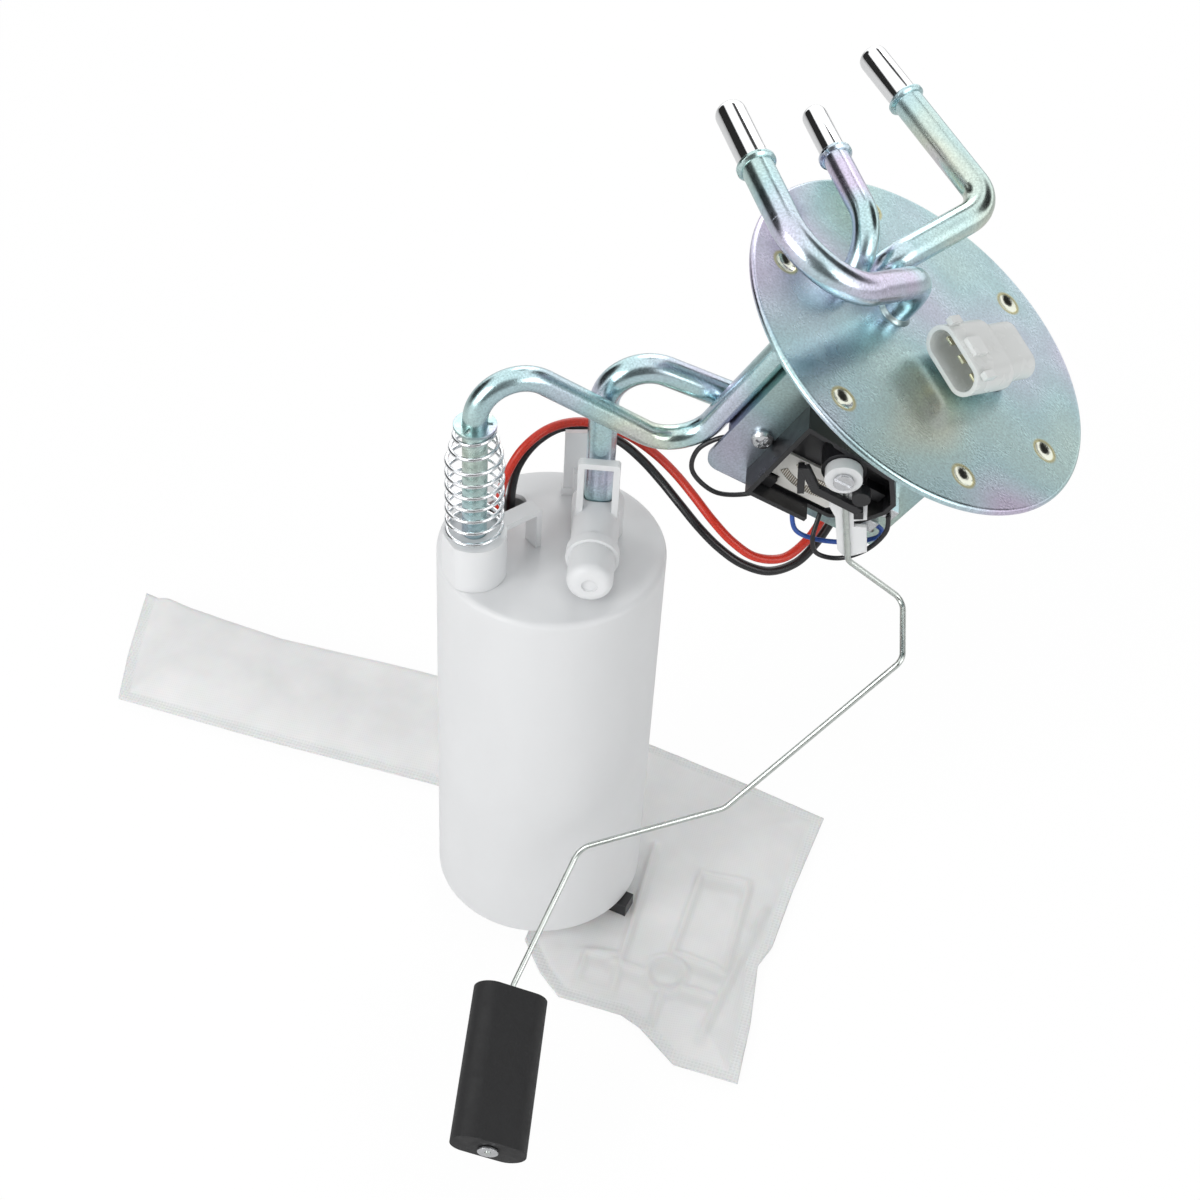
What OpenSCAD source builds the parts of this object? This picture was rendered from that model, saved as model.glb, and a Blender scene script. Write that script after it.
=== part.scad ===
// Fuel pump and level sender module for a vehicle tank.
// A round zinc plated plate carries three bent fuel tubes, a plug and a bracket
// with the level sender. A spring loaded reservoir slides up and down on two of
// the tubes, with the pump inside it and two flat filter socks under it.
// Frame: origin at the middle of the plate's seat, +Z up along the slide,
// the plate leans toward +X, and the sender faces -Y.

/* [Mounting plate] */
// Plate diameter
plate_d = 120; // [100:1:150]
// Plate thickness
plate_t = 2.5; // [1.5:0.1:4]
// Width of the seat ring under the plate
seat_w = 8; // [5:0.5:9]
// Recess inside the seat ring
seat_step = 0.4; // [0.2:0.1:0.8]
// Lean of the plate away from the slide
plate_tilt = 29.2; // [0:0.1:40]
// Radius of the ring of dimples
dimple_ring_r = 48.7; // [44:0.1:52]
// Dimple diameter
dimple_d = 7; // [4:0.1:9]
// Dimple depth
dimple_deep = 0.9; // [0.3:0.1:1.4]

/* [Fuel tubes] */
// Feed and vapour tube outside diameter
big_tube_d = 9.5; // [8.5:0.1:10]
// Return tube outside diameter
small_tube_d = 8; // [7:0.1:8.4]
// Tube wall
tube_wall = 0.9; // [0.6:0.1:1.2]
// Bead height over the tube
bead_rise = 1.1; // [0.6:0.1:1.6]
// Bead width
bead_w = 2.2; // [1.5:0.1:3]
// Bead distance from the feed tube's end
feed_bead_back = 23; // [16:0.5:26]
// Bead distance from the return tube's end
return_bead_back = 20; // [14:0.5:24]
// Bead distance from the vapour tube's end
vapour_bead_back = 21; // [14:0.5:24]
// Step down from the tube to its hose end
tip_step = 0.15; // [0.05:0.05:0.3]
// Braze ring width at each foot
braze_w = 1; // [0.5:0.1:1.1]
// Braze ring height at each foot
braze_h = 1.4; // [0.8:0.1:2]

/* [Plug] */
// Plug sleeve width
plug_w = 23; // [20:0.5:25]
// Plug sleeve height
plug_h = 11.2; // [10:0.1:12]
// Plug sleeve length
plug_sleeve_len = 17; // [14:0.5:19]
// Plug sleeve wall
plug_wall = 1.4; // [1:0.1:2]
// Plug cavity depth
plug_deep = 14.5; // [10:0.5:15.5]
// Length of the plug's rear block
plug_rear_len = 12.7; // [12:0.1:13.4]
// Height of the plug's axis over the seat
plug_axis_h = 10; // [9.6:0.1:11]
// Plug foot diameter
plug_foot_d = 15; // [13:0.1:16]
// Diameter of the plug's neck through the plate
plug_neck_d = 12; // [10:0.1:12.5]
// Seal thickness under the plug foot
plug_seal_t = 1; // [0.6:0.1:1.2]

/* [Bracket] */
// Bracket thickness
bracket_t = 1.5; // [1:0.1:1.5]
// Bracket front face in front of the return tube's axis
bracket_front = 6; // [5.8:0.1:6.2]
// Bracket right edge
bracket_right = 70; // [66:0.5:72]
// Bracket depth below the plate
bracket_drop = 80; // [78:0.5:84]
// Lip depth on the bracket's left edge
bracket_lip = 4.5; // [3:0.1:4.5]
// Gap under the plate at the middle of the bracket
bracket_relief = 10; // [8:0.5:12]

/* [Level sender] */
// Sender tray depth
tray_deep = 10; // [8:0.1:10]
// Tray wall
tray_wall = 1.6; // [1.2:0.1:2]
// Tray floor
tray_floor = 2; // [1.5:0.1:2.2]
// Pivot pin diameter
pin_d = 4; // [3:0.1:5]
// Running gap round the pivot pin
pin_gap = 0.06; // [0.03:0.01:0.1]
// Hub diameter
hub_d = 11.7; // [10:0.1:13]
// Hub thickness
hub_t = 4; // [3.6:0.1:4.4]
// Radius of the resistor track
track_r = 20; // [18:0.1:21]
// Width of the resistor track
track_w = 2.4; // [1.5:0.1:2.6]
// Float wire diameter
arm_wire_d = 2; // [1.6:0.1:2.2]
// Float length
float_l = 56; // [50:1:60]
// Float width
float_w = 26.5; // [22:0.5:28]
// Float thickness
float_t = 13; // [10:0.5:14]

/* [Reservoir] */
// Reservoir outside diameter
can_d = 76; // [74:0.5:77]
// Reservoir height
can_h = 159.4; // [150:0.1:165]
// Reservoir wall
can_wall = 2; // [1.5:0.1:2.5]
// Reservoir top below the seat
can_top = 97.2; // [96:0.1:98]
// Reservoir edge rounding
can_edge = 2; // [1:0.1:2.5]
// Guide boss diameter
boss_d = 21; // [19:0.1:22]
// Guide boss height over the reservoir
boss_h = 17.5; // [15:0.1:18]
// Running gap between guide boss and return tube
guide_gap = 0.08; // [0.04:0.01:0.1]
// Fitting diameter
fitting_d = 17.3; // [16:0.1:18]
// Fitting height over the reservoir
fitting_h = 15.2; // [13:0.1:16]
// Gap between fitting and feed tube
fitting_gap = 0.35; // [0.3:0.05:0.5]
// Fitting stub diameter
stub_d = 11.5; // [10:0.1:12]
// Cap diameter
cap_d = 15; // [14:0.1:16]
// Spring outside diameter at the bottom
spring_d = 19; // [17:0.1:19.6]
// Spring outside diameter at the top
spring_top_d = 12.4; // [12:0.1:14]
// Spring wire diameter
spring_wire = 1.3; // [1:0.1:1.6]
// Spring retainer diameter
retainer_d = 13.5; // [13:0.1:15]

/* [Pump] */
// Pump diameter
pump_d = 38; // [34:0.5:40]
// Pump case length
pump_l = 78; // [70:1:82]
// Pump end cap length
pump_cap_l = 9; // [6:0.5:10]
// Isolator cup wall
isolator_t = 3; // [2:0.1:3.5]

/* [Filter socks] */
// Filter sock thickness
sock_t = 9; // [6:0.5:10]
// Top of the socks below the reservoir's foot
sock_drop = 5.9; // [5.6:0.1:6.5]
// Filter neck diameter
neck_d = 18; // [16:0.5:20]

/* [Hidden] */
$fn = 48;
e = 0.01;

// Vector helpers
function unit(v) = v / norm(v);
function from_flange(p) = [p[0]*cos(plate_tilt) + p[2]*sin(plate_tilt), p[1],
                           -p[0]*sin(plate_tilt) + p[2]*cos(plate_tilt)];
bracket_turn = 14;
foot_small = [-29, -2, 0];
function from_bracket(a, d, w) =
    from_flange([foot_small[0] + a*cos(bracket_turn) + d*sin(bracket_turn),
                 foot_small[1] + a*sin(bracket_turn) - d*cos(bracket_turn), w]);

// Corner points of the tubes in the frame of the whole part
foot_feed = [-11.4, 3, 0];
foot_vapour = [-20.5, 11, 0];
feed_axis = [-92.4, -7];
guide_axis = [-123.5, -40.05];
feed_end_z = -101;
guide_end_z = -101;
feed_pts = [from_flange([-85.9, 11.2, 17.9]), from_flange([-40.9, -46.1, 25.3]),
            from_flange([-11.4, 3, 17]), from_flange([-11.4, 3, -14]),
            from_bracket(28.5, -13, -63.5), [feed_axis[0], feed_axis[1], -22],
            [feed_axis[0], feed_axis[1], feed_end_z]];
feed_bends = [19, 10.6, 40, 13, 13.3];
return_pts = [from_flange([-62, 45.1, 13]), from_flange([-29, -2, 21]),
              from_flange([-29, -2, -84.6]), [guide_axis[0], guide_axis[1], -6.9],
              [guide_axis[0], guide_axis[1], guide_end_z]];
return_bends = [14.7, 14, 13.4];
vapour_pts = [from_flange([-54.5, 84, 18]), from_flange([-3.8, 40.4, 27.2]),
              from_flange([-20.5, 11, 10.5]), from_flange([-20.5, 11, -4])];
vapour_bends = [10, 10];

// Reservoir levels
can_c = [-103.7, -19.7];
can_r = can_d / 2;
pump_c = [-99.7, -15.2];
can_z0 = -can_top - can_h;
boss_top = -can_top + boss_h;
fitting_top = -can_top + fitting_h;
fitting_sleeve_d = 13.5;
sleeve_end = -128;
stub_dir = 283.5;
stub_z = -88.4;
retainer_z = -36.6;
retainer_t = 0.9;
pump_z0 = can_z0 + 9.6;
base_t = 2.5;

// Sender levels, in front of the return tube's axis
hub_a = 36.3;
hub_w = -47.2;
tray_front = bracket_front + tray_deep;
hub_back = tray_front + 0.3;
hub_front = hub_back + hub_t;
arm_depth = hub_back + hub_t / 2 - 0.3;
card_t = 1.2;
rest_turn = -52.5;
arm_pts = [from_bracket(hub_a + 3.4, arm_depth, hub_w - 4.43),
           from_bracket(60.8, arm_depth, -79.1),
           from_bracket(86.9, arm_depth, -84.6), from_bracket(86.9, 43, -84.5),
           from_bracket(68.1, 70, -156.9), from_bracket(42.4, 70, -209.6),
           from_bracket(37.7, 114, -239), from_bracket(38, 174, -240.4)];
arm_bends = [4, 4, 4, 8, 8, 8];
wire_start = norm([3.4, 4.43]);
carrier_top = arm_depth - 0.15;

module on_flange() {
    rotate([0, plate_tilt, 0]) children();
}

module on_face() {
    on_flange() translate(foot_small) rotate([0, 0, bracket_turn]) rotate([90, 0, 0]) children();
}

module on_can() {
    translate([can_c[0], can_c[1], 0]) children();
}

module on_pump() {
    translate([pump_c[0], pump_c[1], 0]) children();
}

module on_plug() {
    on_flange() translate([7.5, -11, plug_axis_h]) rotate([0, 0, -127.3]) children();
}

// Places children with local Z along v and local X as near as can be to x
module along(p, v, x) {
    k = unit(v);
    j = unit(cross(k, x));
    i = cross(j, k);
    multmatrix([[i[0], j[0], k[0], p[0]], [i[1], j[1], k[1], p[1]],
                [i[2], j[2], k[2], p[2]], [0, 0, 0, 1]]) children();
}

function other(v) = abs(v[0]) < 0.7 ? [1, 0, 0] : [0, 1, 0];
function turn_at(p, i) = acos(unit(p[i] - p[i-1]) * unit(p[i+1] - p[i]));
function cut_at(p, b, i) = (i <= 0 || i >= len(p) - 1) ? 0 : b[i-1] * tan(turn_at(p, i) / 2);

// Straight runs and round bends of a rod through corner points. Each run goes a little
// way over the bend's end, and the bend is a hair thinner, so they always join.
over = 0.2;
thinner = 0.02;

module bent(p, b, r) {
    m = len(p) - 1;
    for (i = [0 : m - 1]) {
        v = unit(p[i+1] - p[i]);
        o0 = i == 0 ? 0 : over;
        o1 = i == m - 1 ? 0 : over;
        l = norm(p[i+1] - p[i]) - cut_at(p, b, i) - cut_at(p, b, i + 1);
        along(p[i] + v * (cut_at(p, b, i) - o0), v, other(v)) cylinder(h = l + o0 + o1, r = r);
    }
    for (i = [1 : m - 1]) bend(p, b, i, r - thinner);
}

function bend_side(p, i) =
    unit(unit(p[i+1] - p[i]) - unit(p[i] - p[i-1]) * (unit(p[i+1] - p[i]) * unit(p[i] - p[i-1])));

module bend(p, b, i, r) {
    a = unit(p[i] - p[i-1]);
    c = bend_side(p, i);
    o = p[i] - a * cut_at(p, b, i) + c * b[i-1];
    k = cross(a, c);
    multmatrix([[-c[0], a[0], k[0], o[0]], [-c[1], a[1], k[1], o[1]],
                [-c[2], a[2], k[2], o[2]], [0, 0, 0, 1]])
        rotate_extrude(angle = turn_at(p, i)) translate([b[i-1], 0]) circle(r = r);
}

// The same corner points with both ends carried on by x
function longer(p, x) = let(m = len(p) - 1)
    [for (i = [0 : m]) i == 0 ? p[0] + unit(p[0] - p[1]) * x
        : (i == m ? p[m] + unit(p[m] - p[m-1]) * x : p[i])];

module tube(p, b, d, back) {
    difference() {
        union() {
            difference() {
                bent(p, b, d / 2);
                tip_cut(p, d, back);
            }
            bead(p, back, d / 2, bead_rise);
        }
        bent(longer(p, 1), b, d / 2 - tube_wall);
    }
}

// Takes a hair off a tube between its end and the bead, where the hose sits
module tip_cut(p, d, back) {
    along(p[0], p[1] - p[0], [0, 0, 1]) translate([0, 0, -1]) difference() {
        cylinder(h = back - bead_w / 2 + 1.3, d = d + 2);
        translate([0, 0, -1]) cylinder(h = back + 3, d = d - 2 * tip_step);
    }
}

// Bead near a tube's first end
module bead(p, back, r, rise) {
    along(p[0], p[1] - p[0], [0, 0, 1]) translate([0, 0, back - bead_w / 2])
        rotate_extrude() translate([r - 0.3, 0]) bead_profile(rise + 0.3);
}

module bead_profile(h) {
    polygon([[0, 0], [h * 0.45, 0], [h, bead_w * 0.3], [h, bead_w * 0.7], [h * 0.45, bead_w],
             [0, bead_w]]);
}

// Eight or six sided wire through close round points
module wire(pts, r, n) {
    m = len(pts);
    t = [for (i = [0 : m - 1]) unit(pts[min(i + 1, m - 1)] - pts[max(i - 1, 0)])];
    u0 = unit(cross(t[0], other(t[0])));
    u = carry(t, u0, 1, [u0]);
    ring = [for (i = [0 : m - 1]) for (k = [0 : n - 1])
        pts[i] + r * (cos(360*k/n) * u[i] + sin(360*k/n) * cross(t[i], u[i]))];
    side = [for (i = [0 : m - 2]) for (k = [0 : n - 1])
        [i*n + k, i*n + (k+1) % n, (i+1)*n + (k+1) % n, (i+1)*n + k]];
    polyhedron(points = ring, faces = concat([[for (k = [0 : n - 1]) n - 1 - k]], side,
        [[for (k = [0 : n - 1]) (m-1)*n + k]]), convexity = 10);
}

function carry(t, u, i, out) =
    i >= len(t) ? out : let(v = unit(u - t[i] * (t[i] * u))) carry(t, v, i + 1, concat(out, [v]));

// Smooth curve through chosen points
function spline(p, i, s) =
    let(a = p[max(i - 1, 0)], b = p[i], c = p[i + 1], d = p[min(i + 2, len(p) - 1)])
    0.5 * (2*b + (c - a)*s + (2*a - 5*b + 4*c - d)*s*s + (3*b - 3*c + d - a)*s*s*s);
function smooth(p, n) =
    concat([for (i = [0 : len(p) - 2]) for (k = [0 : n - 1]) spline(p, i, k / n)], [p[len(p) - 1]]);

// Mounting plate and what is brazed to it
module flange_plate() {
    r = plate_d / 2;
    color([0.66, 0.72, 0.70]) on_flange() difference() {
        rotate_extrude($fn = 96) union() {
            square([r - plate_t / 2, plate_t]);
            translate([r - plate_t / 2, plate_t / 2]) circle(d = plate_t);
        }
        for (a = [-168, -110, -59, -10, 62, 128]) rotate([0, 0, a])
            translate([dimple_ring_r, 0, plate_t + dimple_ball - dimple_deep])
                sphere(r = dimple_ball, $fn = 64);
        translate([0, 0, -1]) cylinder(h = 1 + seat_step, r = r - seat_w, $fn = 96);
        tube_hole(foot_feed, big_tube_d);
        tube_hole(foot_small, small_tube_d);
        tube_hole(foot_vapour, big_tube_d);
        translate([plug_foot[0], plug_foot[1], -1]) cylinder(h = plate_t + 2, d = plug_neck_d);
    }
}
dimple_ball = (pow(dimple_d / 2, 2) + pow(dimple_deep, 2)) / (2 * dimple_deep);
plug_foot = [7.5, -11] + 23.5 * [0.606, 0.795];
pin_out = 3.2;

module tube_hole(p, d) {
    translate([p[0], p[1], -1]) cylinder(h = plate_t + 2, d = d, $fn = 32);
}

module feed_tube() {
    color([0.72, 0.75, 0.76]) tube(feed_pts, feed_bends, big_tube_d, feed_bead_back);
}

module return_tube() {
    color([0.72, 0.75, 0.76]) tube(return_pts, return_bends, small_tube_d, return_bead_back);
}

module vapour_tube() {
    color([0.72, 0.75, 0.76]) tube(vapour_pts, vapour_bends, big_tube_d, vapour_bead_back);
}

module braze_rings() {
    color([0.80, 0.74, 0.55]) on_flange() {
        braze(foot_feed, big_tube_d);
        braze(foot_small, small_tube_d);
        braze(foot_vapour, big_tube_d);
    }
}

module braze(p, d) {
    translate([p[0], p[1], plate_t]) rotate_extrude($fn = 32)
        polygon([[d / 2, 0], [d / 2 + braze_w, 0], [d / 2 + 0.35, braze_h * 0.55], [d / 2, braze_h]]);
}

// Plug
module stadium(w, h) {
    union() {
        square([w - h, h], center = true);
        for (s = [-1, 1]) translate([s * (w - h) / 2, 0]) circle(d = h, $fn = 32);
    }
}

module plug_run(x0, x1) {
    translate([x0, 0, 0]) rotate([90, 0, 90]) linear_extrude(height = x1 - x0) children();
}

module connector_shell() {
    color([0.86, 0.87, 0.84]) union() {
        on_plug() difference() {
            union() {
                plug_run(-plug_sleeve_len, 0) stadium(plug_w, plug_h);
                plug_run(-plug_sleeve_len - plug_rear_len, -plug_sleeve_len)
                    stadium(plug_w - 4, plug_h - 1.8);
                translate([-5.5, plug_w / 2 - 3, plug_h / 2 - 0.8]) cube([4.5, 2.4, 2]);
                translate([-5.5, -plug_w / 2 + 0.6, plug_h / 2 - 0.8]) cube([4.5, 2.4, 2]);
                translate([-8, -3, plug_h / 2 - 0.6]) cube([6, 6, 2.2]);
            }
            plug_run(-plug_deep, 1) stadium(plug_w - 2 * plug_wall, plug_h - 2 * plug_wall);
        }
        on_flange() translate([plug_foot[0], plug_foot[1], plate_t + plug_seal_t])
            cylinder(h = plug_axis_h - plate_t - plug_seal_t - 2, d = plug_foot_d);
        on_flange() translate([plug_foot[0], plug_foot[1], -5])
            cylinder(h = plug_axis_h + 3, d = plug_neck_d);
    }
}

module connector_terminals() {
    color([0.78, 0.68, 0.42]) {
        on_plug() for (y = [-6.6, 0, 6.6]) translate([-plug_deep, y - 1.4, -0.4])
            cube([10.5, 2.8, 0.8]);
        on_flange() translate([plug_foot[0], plug_foot[1], -9]) rotate([0, 0, bracket_turn])
            for (s = [-1, 0, 1]) translate([pin_out * s, 0, 0]) cylinder(h = 4, d = 1.8, $fn = 24);
    }
}

module connector_seal() {
    color([0.12, 0.12, 0.13]) on_flange() translate([plug_foot[0], plug_foot[1], plate_t])
        difference() {
            cylinder(h = plug_seal_t, d = plug_foot_d + 1.6);
            translate([0, 0, -1]) cylinder(h = plug_seal_t + 2, d = plug_neck_d);
        }
}

// Bracket, with x along the bracket, y up it and z toward the viewer
bracket_left = 4;
bracket_back = bracket_front - bracket_t;
screw_at = [13.5, -59];

module bracket_outline() {
    difference() {
        union() {
            translate([bracket_left, -bracket_drop + 6])
                square([bracket_right - bracket_left, bracket_drop - 6 - bracket_relief]);
            translate([bracket_left + 6, -bracket_drop])
                square([bracket_right - bracket_left - 6, bracket_drop - 7]);
            translate([bracket_left + 6, -bracket_drop + 6]) circle(r = 6);
            translate([bracket_left, -bracket_relief - 1]) square([18, bracket_relief + 1 + seat_step]);
            translate([bracket_right - 10, -bracket_relief - 1])
                square([10, bracket_relief + 1 + seat_step]);
        }
        translate(screw_at) circle(d = 3.4, $fn = 24);
        translate([25.9, -42.9]) circle(d = 3, $fn = 24);
        translate([bracket_right - 5, -bracket_drop + 6]) circle(d = 4, $fn = 24);
    }
}

module bracket_plate() {
    color([0.70, 0.76, 0.73]) on_face() union() {
        translate([0, 0, bracket_back]) linear_extrude(height = bracket_t) bracket_outline();
        translate([bracket_left, -64, bracket_front - bracket_lip - bracket_t])
            cube([bracket_t, 54, bracket_lip + bracket_t - 0.5]);
        translate([bracket_left, seat_step - bracket_t, bracket_front - 0.5])
            cube([18, bracket_t, 8]);
        translate([bracket_right - 10, seat_step - bracket_t, bracket_front - 0.5])
            cube([10, bracket_t, 8]);
    }
}

// Level sender
module tray_outline(s) {
    polygon([[17 + 1.015 * s, -38.2 - 1.097 * s], [51 - 0.507 * s, -41.3 - 0.958 * s],
             [58.8 - s, -50.8 - 0.358 * s], [58.8 - s, -55.8 + 0.222 * s],
             [50.8 - 0.778 * s, -72.9 + 0.696 * s], [49 - 0.281 * s, -74 + s],
             [17.5 + 0.986 * s, -74 + s]]);
}

module sender_frame() {
    color([0.09, 0.09, 0.10]) on_face() difference() {
        union() {
            difference() {
                translate([0, 0, bracket_front]) linear_extrude(height = tray_deep)
                    tray_outline(0);
                translate([0, 0, bracket_front + tray_floor]) linear_extrude(height = tray_deep)
                    tray_outline(tray_wall);
                translate([40, -80, bracket_front + tray_floor + 1.5]) cube([30, 14, 20]);
            }
            translate([hub_a, hub_w, bracket_front]) cylinder(h = tray_deep, r = 7);
            translate([49, -56.5, bracket_front]) cube([7, 4, 6]);
            translate([20.5, -72, bracket_front]) cube([5, 4, 5]);
        }
        translate([hub_a, hub_w, bracket_front + 3]) cylinder(h = tray_deep, d = pin_d);
        translate([25.9, -42.9, bracket_front - 1]) cylinder(h = 30, d = 6, $fn = 24);
    }
}

module resistor_card() {
    color([0.88, 0.89, 0.87]) on_face() translate([0, 0, bracket_front + tray_floor])
        linear_extrude(height = card_t) difference() {
            polygon([[21, -57], [47.5, -57], [51.2, -61], [48.2, -68.6], [46, -71],
                     [26, -71], [26, -67.5], [21, -67.5]]);
            translate([hub_a, hub_w]) circle(r = 10);
        }
}

module track_arc(r, w, a0, a1) {
    rotate([0, 0, a0]) rotate_extrude(angle = a1 - a0) translate([r - w / 2, 0]) square([w, 0.3]);
}

module resistor_track() {
    color([0.78, 0.80, 0.80]) on_face()
        translate([hub_a, hub_w, bracket_front + tray_floor + card_t]) {
            track_arc(track_r, track_w, -124, -56);
            track_arc(track_r - 5, track_w * 0.6, -126, -58);
        }
}

module sender_screws() {
    color([0.68, 0.70, 0.72]) on_face() union() {
        translate([screw_at[0], screw_at[1], bracket_back - 2]) cylinder(h = bracket_t + 2.5, d = 3.4, $fn = 24);
        translate([screw_at[0], screw_at[1], bracket_front]) difference() {
            rotate_extrude() polygon([[0, 0], [3.6, 0], [3.6, 1.2], [2.9, 2.1], [1.6, 2.5],
                                      [0, 2.5]]);
            translate([-2.2, -0.45, 1.6]) cube([4.4, 0.9, 2]);
            translate([-0.45, -2.2, 1.6]) cube([0.9, 4.4, 2]);
        }
    }
}

module sender_rivet() {
    color([0.72, 0.73, 0.74]) on_face() union() {
        translate([25.9, -42.9, bracket_back - 0.8]) cylinder(h = bracket_t + 1.5, d = 3,
                                                              $fn = 24);
        translate([25.9, -42.9, bracket_front]) rotate_extrude()
            polygon([[0, 0], [2.6, 0], [2.5, 0.7], [1.8, 1.3], [0, 1.5]]);
        translate([25.9, -42.9, bracket_back - 0.8]) cylinder(h = 0.8, d = 4.6, $fn = 24);
    }
}

module sender_terminals() {
    color([0.82, 0.80, 0.72]) on_face() {
        translate([56.3, -68.5, bracket_front]) cube([5.4, 4.6, 7]);
        translate([59, -60.6, bracket_front]) cube([5, 4.4, 6.5]);
    }
}

module pivot_pin() {
    color([0.80, 0.81, 0.82]) on_face() translate([hub_a, hub_w, 0]) difference() {
        union() {
            translate([0, 0, bracket_front + 3])
                cylinder(h = hub_front + 0.3 - bracket_front - 3 + 0.5, d = pin_d);
            translate([0, 0, hub_front + 0.3]) cylinder(h = 1, d = 6.4);
        }
        translate([-4, -0.5, hub_front + 0.8]) cube([8, 1, 2]);
    }
}

// Thin wires of the sender
blue_pts = [from_bracket(36.4, 7.6, -74.5), from_bracket(38.5, 8.8, -79),
            from_bracket(44, 10.4, -84.5), from_bracket(52, 11.2, -83),
            from_bracket(60, 11.8, -77.5), from_bracket(65.4, 11.8, -71),
            from_bracket(65.2, 11.6, -67), from_bracket(62.1, 11, -66.2)];
left_pts = [from_bracket(9, 3.6, -66), from_bracket(4.6, 3, -69.5), from_bracket(1.2, 4, -77.5),
            from_bracket(4.2, 6, -85), from_bracket(14, 8, -87), from_bracket(22.5, 8, -82),
            from_bracket(26.5, 7.8, -74.5)];
right_pts = [from_bracket(61.5, 13.4, -58.4), from_bracket(64.5, 14.8, -64),
             from_bracket(64.5, 15, -74), from_bracket(60.5, 14.6, -83),
             from_bracket(53.5, 14.2, -86), from_bracket(48.5, 13.4, -81.5),
             from_bracket(46.5, 8.2, -74.7)];

module sender_wire_blue() {
    color([0.20, 0.32, 0.62]) wire(smooth(blue_pts, 5), 0.8, 8);
}

module sender_wire_left() {
    color([0.07, 0.07, 0.08]) wire(smooth(left_pts, 5), 0.8, 8);
}

module sender_wire_right() {
    color([0.07, 0.07, 0.08]) wire(smooth(right_pts, 5), 0.8, 8);
}

// Pump wires, from the plug behind the bracket and the tubes into the reservoir
red_pts = [from_flange([plug_foot[0] - pin_out * cos(bracket_turn),
                        plug_foot[1] - pin_out * sin(bracket_turn), -9.25]),
           [7.4, 7.9, -25.6], [4.6, 13, -33.7], [1.1, 16.9, -42.1], [-3.5, 18.1, -50.8],
           [-8.3, 18.1, -59.4], [-13, 17.8, -68.2], [-17.2, 16.8, -77.1], [-20.7, 13.7, -85.8],
           [-24.3, 8.2, -93.2], [-30.2, 1.7, -97.5], [-38.7, -2.8, -96.1], [-46.8, -4.2, -90.7],
           [-54.5, -3.1, -84.5], [-62.2, 0.8, -79.8], [-70.2, 5.9, -76.7], [-78.7, 9.9, -73.8],
           [-88, 12, -70.9], [-97.5, 11.5, -68.3], [-106.4, 7.6, -66.7], [-113.6, 0.9, -67],
           [-119.2, -5.9, -71.3], [-123, -9.4, -79.7], [-125.2, -9.8, -89.3], [-126, -9.3, -99.2],
           [-126.1, -9, -109.1], [-126, -9, -119]];
black_pts = [from_flange([plug_foot[0] + pin_out * cos(bracket_turn),
                        plug_foot[1] + pin_out * sin(bracket_turn), -9.25]),
           [12.7, 9.4, -28.6], [9.1, 14.4, -36.4], [5.1, 18.1, -44.5], [0.4, 19.2, -53.1],
           [-4.5, 19.1, -61.6], [-9.4, 18.8, -70.2], [-13.8, 18, -78.9], [-17.7, 15.8, -87.7],
           [-21.3, 11.4, -95.7], [-26.3, 5.6, -101.8], [-34.1, 0.2, -103.6], [-43, -2.7, -100.6],
           [-51.2, -3.6, -95.2], [-59, -2.6, -89.3], [-66.7, 0.4, -84.1], [-74.6, 4.6, -80],
           [-82.8, 9, -76.8], [-91.7, 12.3, -74.1], [-101.3, 12.4, -72.1], [-110.3, 9, -71.1],
           [-116.7, 1.4, -73.1], [-121, -4, -80], [-122.7, -5.6, -89.5], [-123.1, -5.4, -99.3],
           [-123.1, -5.1, -109.1], [-123, -5, -119]];

module pump_wire_red() {
    color([0.78, 0.12, 0.09]) wire(smooth(red_pts, 3), 1.5, 8);
}

module pump_wire_black() {
    color([0.07, 0.07, 0.08]) wire(smooth(black_pts, 3), 1.5, 8);
}

// Spring and its retainer on the return tube
module spring_retainer() {
    color([0.56, 0.62, 0.58]) translate([guide_axis[0], guide_axis[1], retainer_z]) difference() {
        cylinder(h = retainer_t, d = retainer_d);
        translate([0, 0, -1]) cylinder(h = retainer_t + 2, d = small_tube_d);
        for (a = [20, 140, 260]) rotate([0, 0, a]) translate([small_tube_d / 2 - 0.5, -0.6, -1])
            cube([1.9, 1.2, retainer_t + 2]);
    }
}

coil_n = 9.5;
coil_low = boss_top + spring_wire * 0.4;
coil_high = retainer_z - spring_wire * 0.4;
function coil_r(s) = (s < 0.7 ? spring_d : spring_d + (spring_top_d - spring_d)
    * pow((s - 0.7) / 0.3, 0.8)) / 2 - spring_wire / 2;
function coil_rise(s) = s < 0.07 ? s * 0.35 : (s > 0.93 ? 1 - (1 - s) * 0.35
    : 0.0245 + (s - 0.07) * 0.951 / 0.86);
coil_pts = [for (i = [0 : 20 * coil_n]) let(s = i / (20 * coil_n))
    [guide_axis[0] + coil_r(s) * cos(i * 18 + 40), guide_axis[1] + coil_r(s) * sin(i * 18 + 40),
     coil_low + (coil_high - coil_low) * coil_rise(s)]];

module spring() {
    color([0.74, 0.77, 0.79]) difference() {
        wire(coil_pts, spring_wire / 2, 6);
        translate([guide_axis[0], guide_axis[1], boss_top - 5]) cylinder(h = 5, r = 15);
        translate([guide_axis[0], guide_axis[1], retainer_z]) cylinder(h = 5, r = 15);
    }
}

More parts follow.
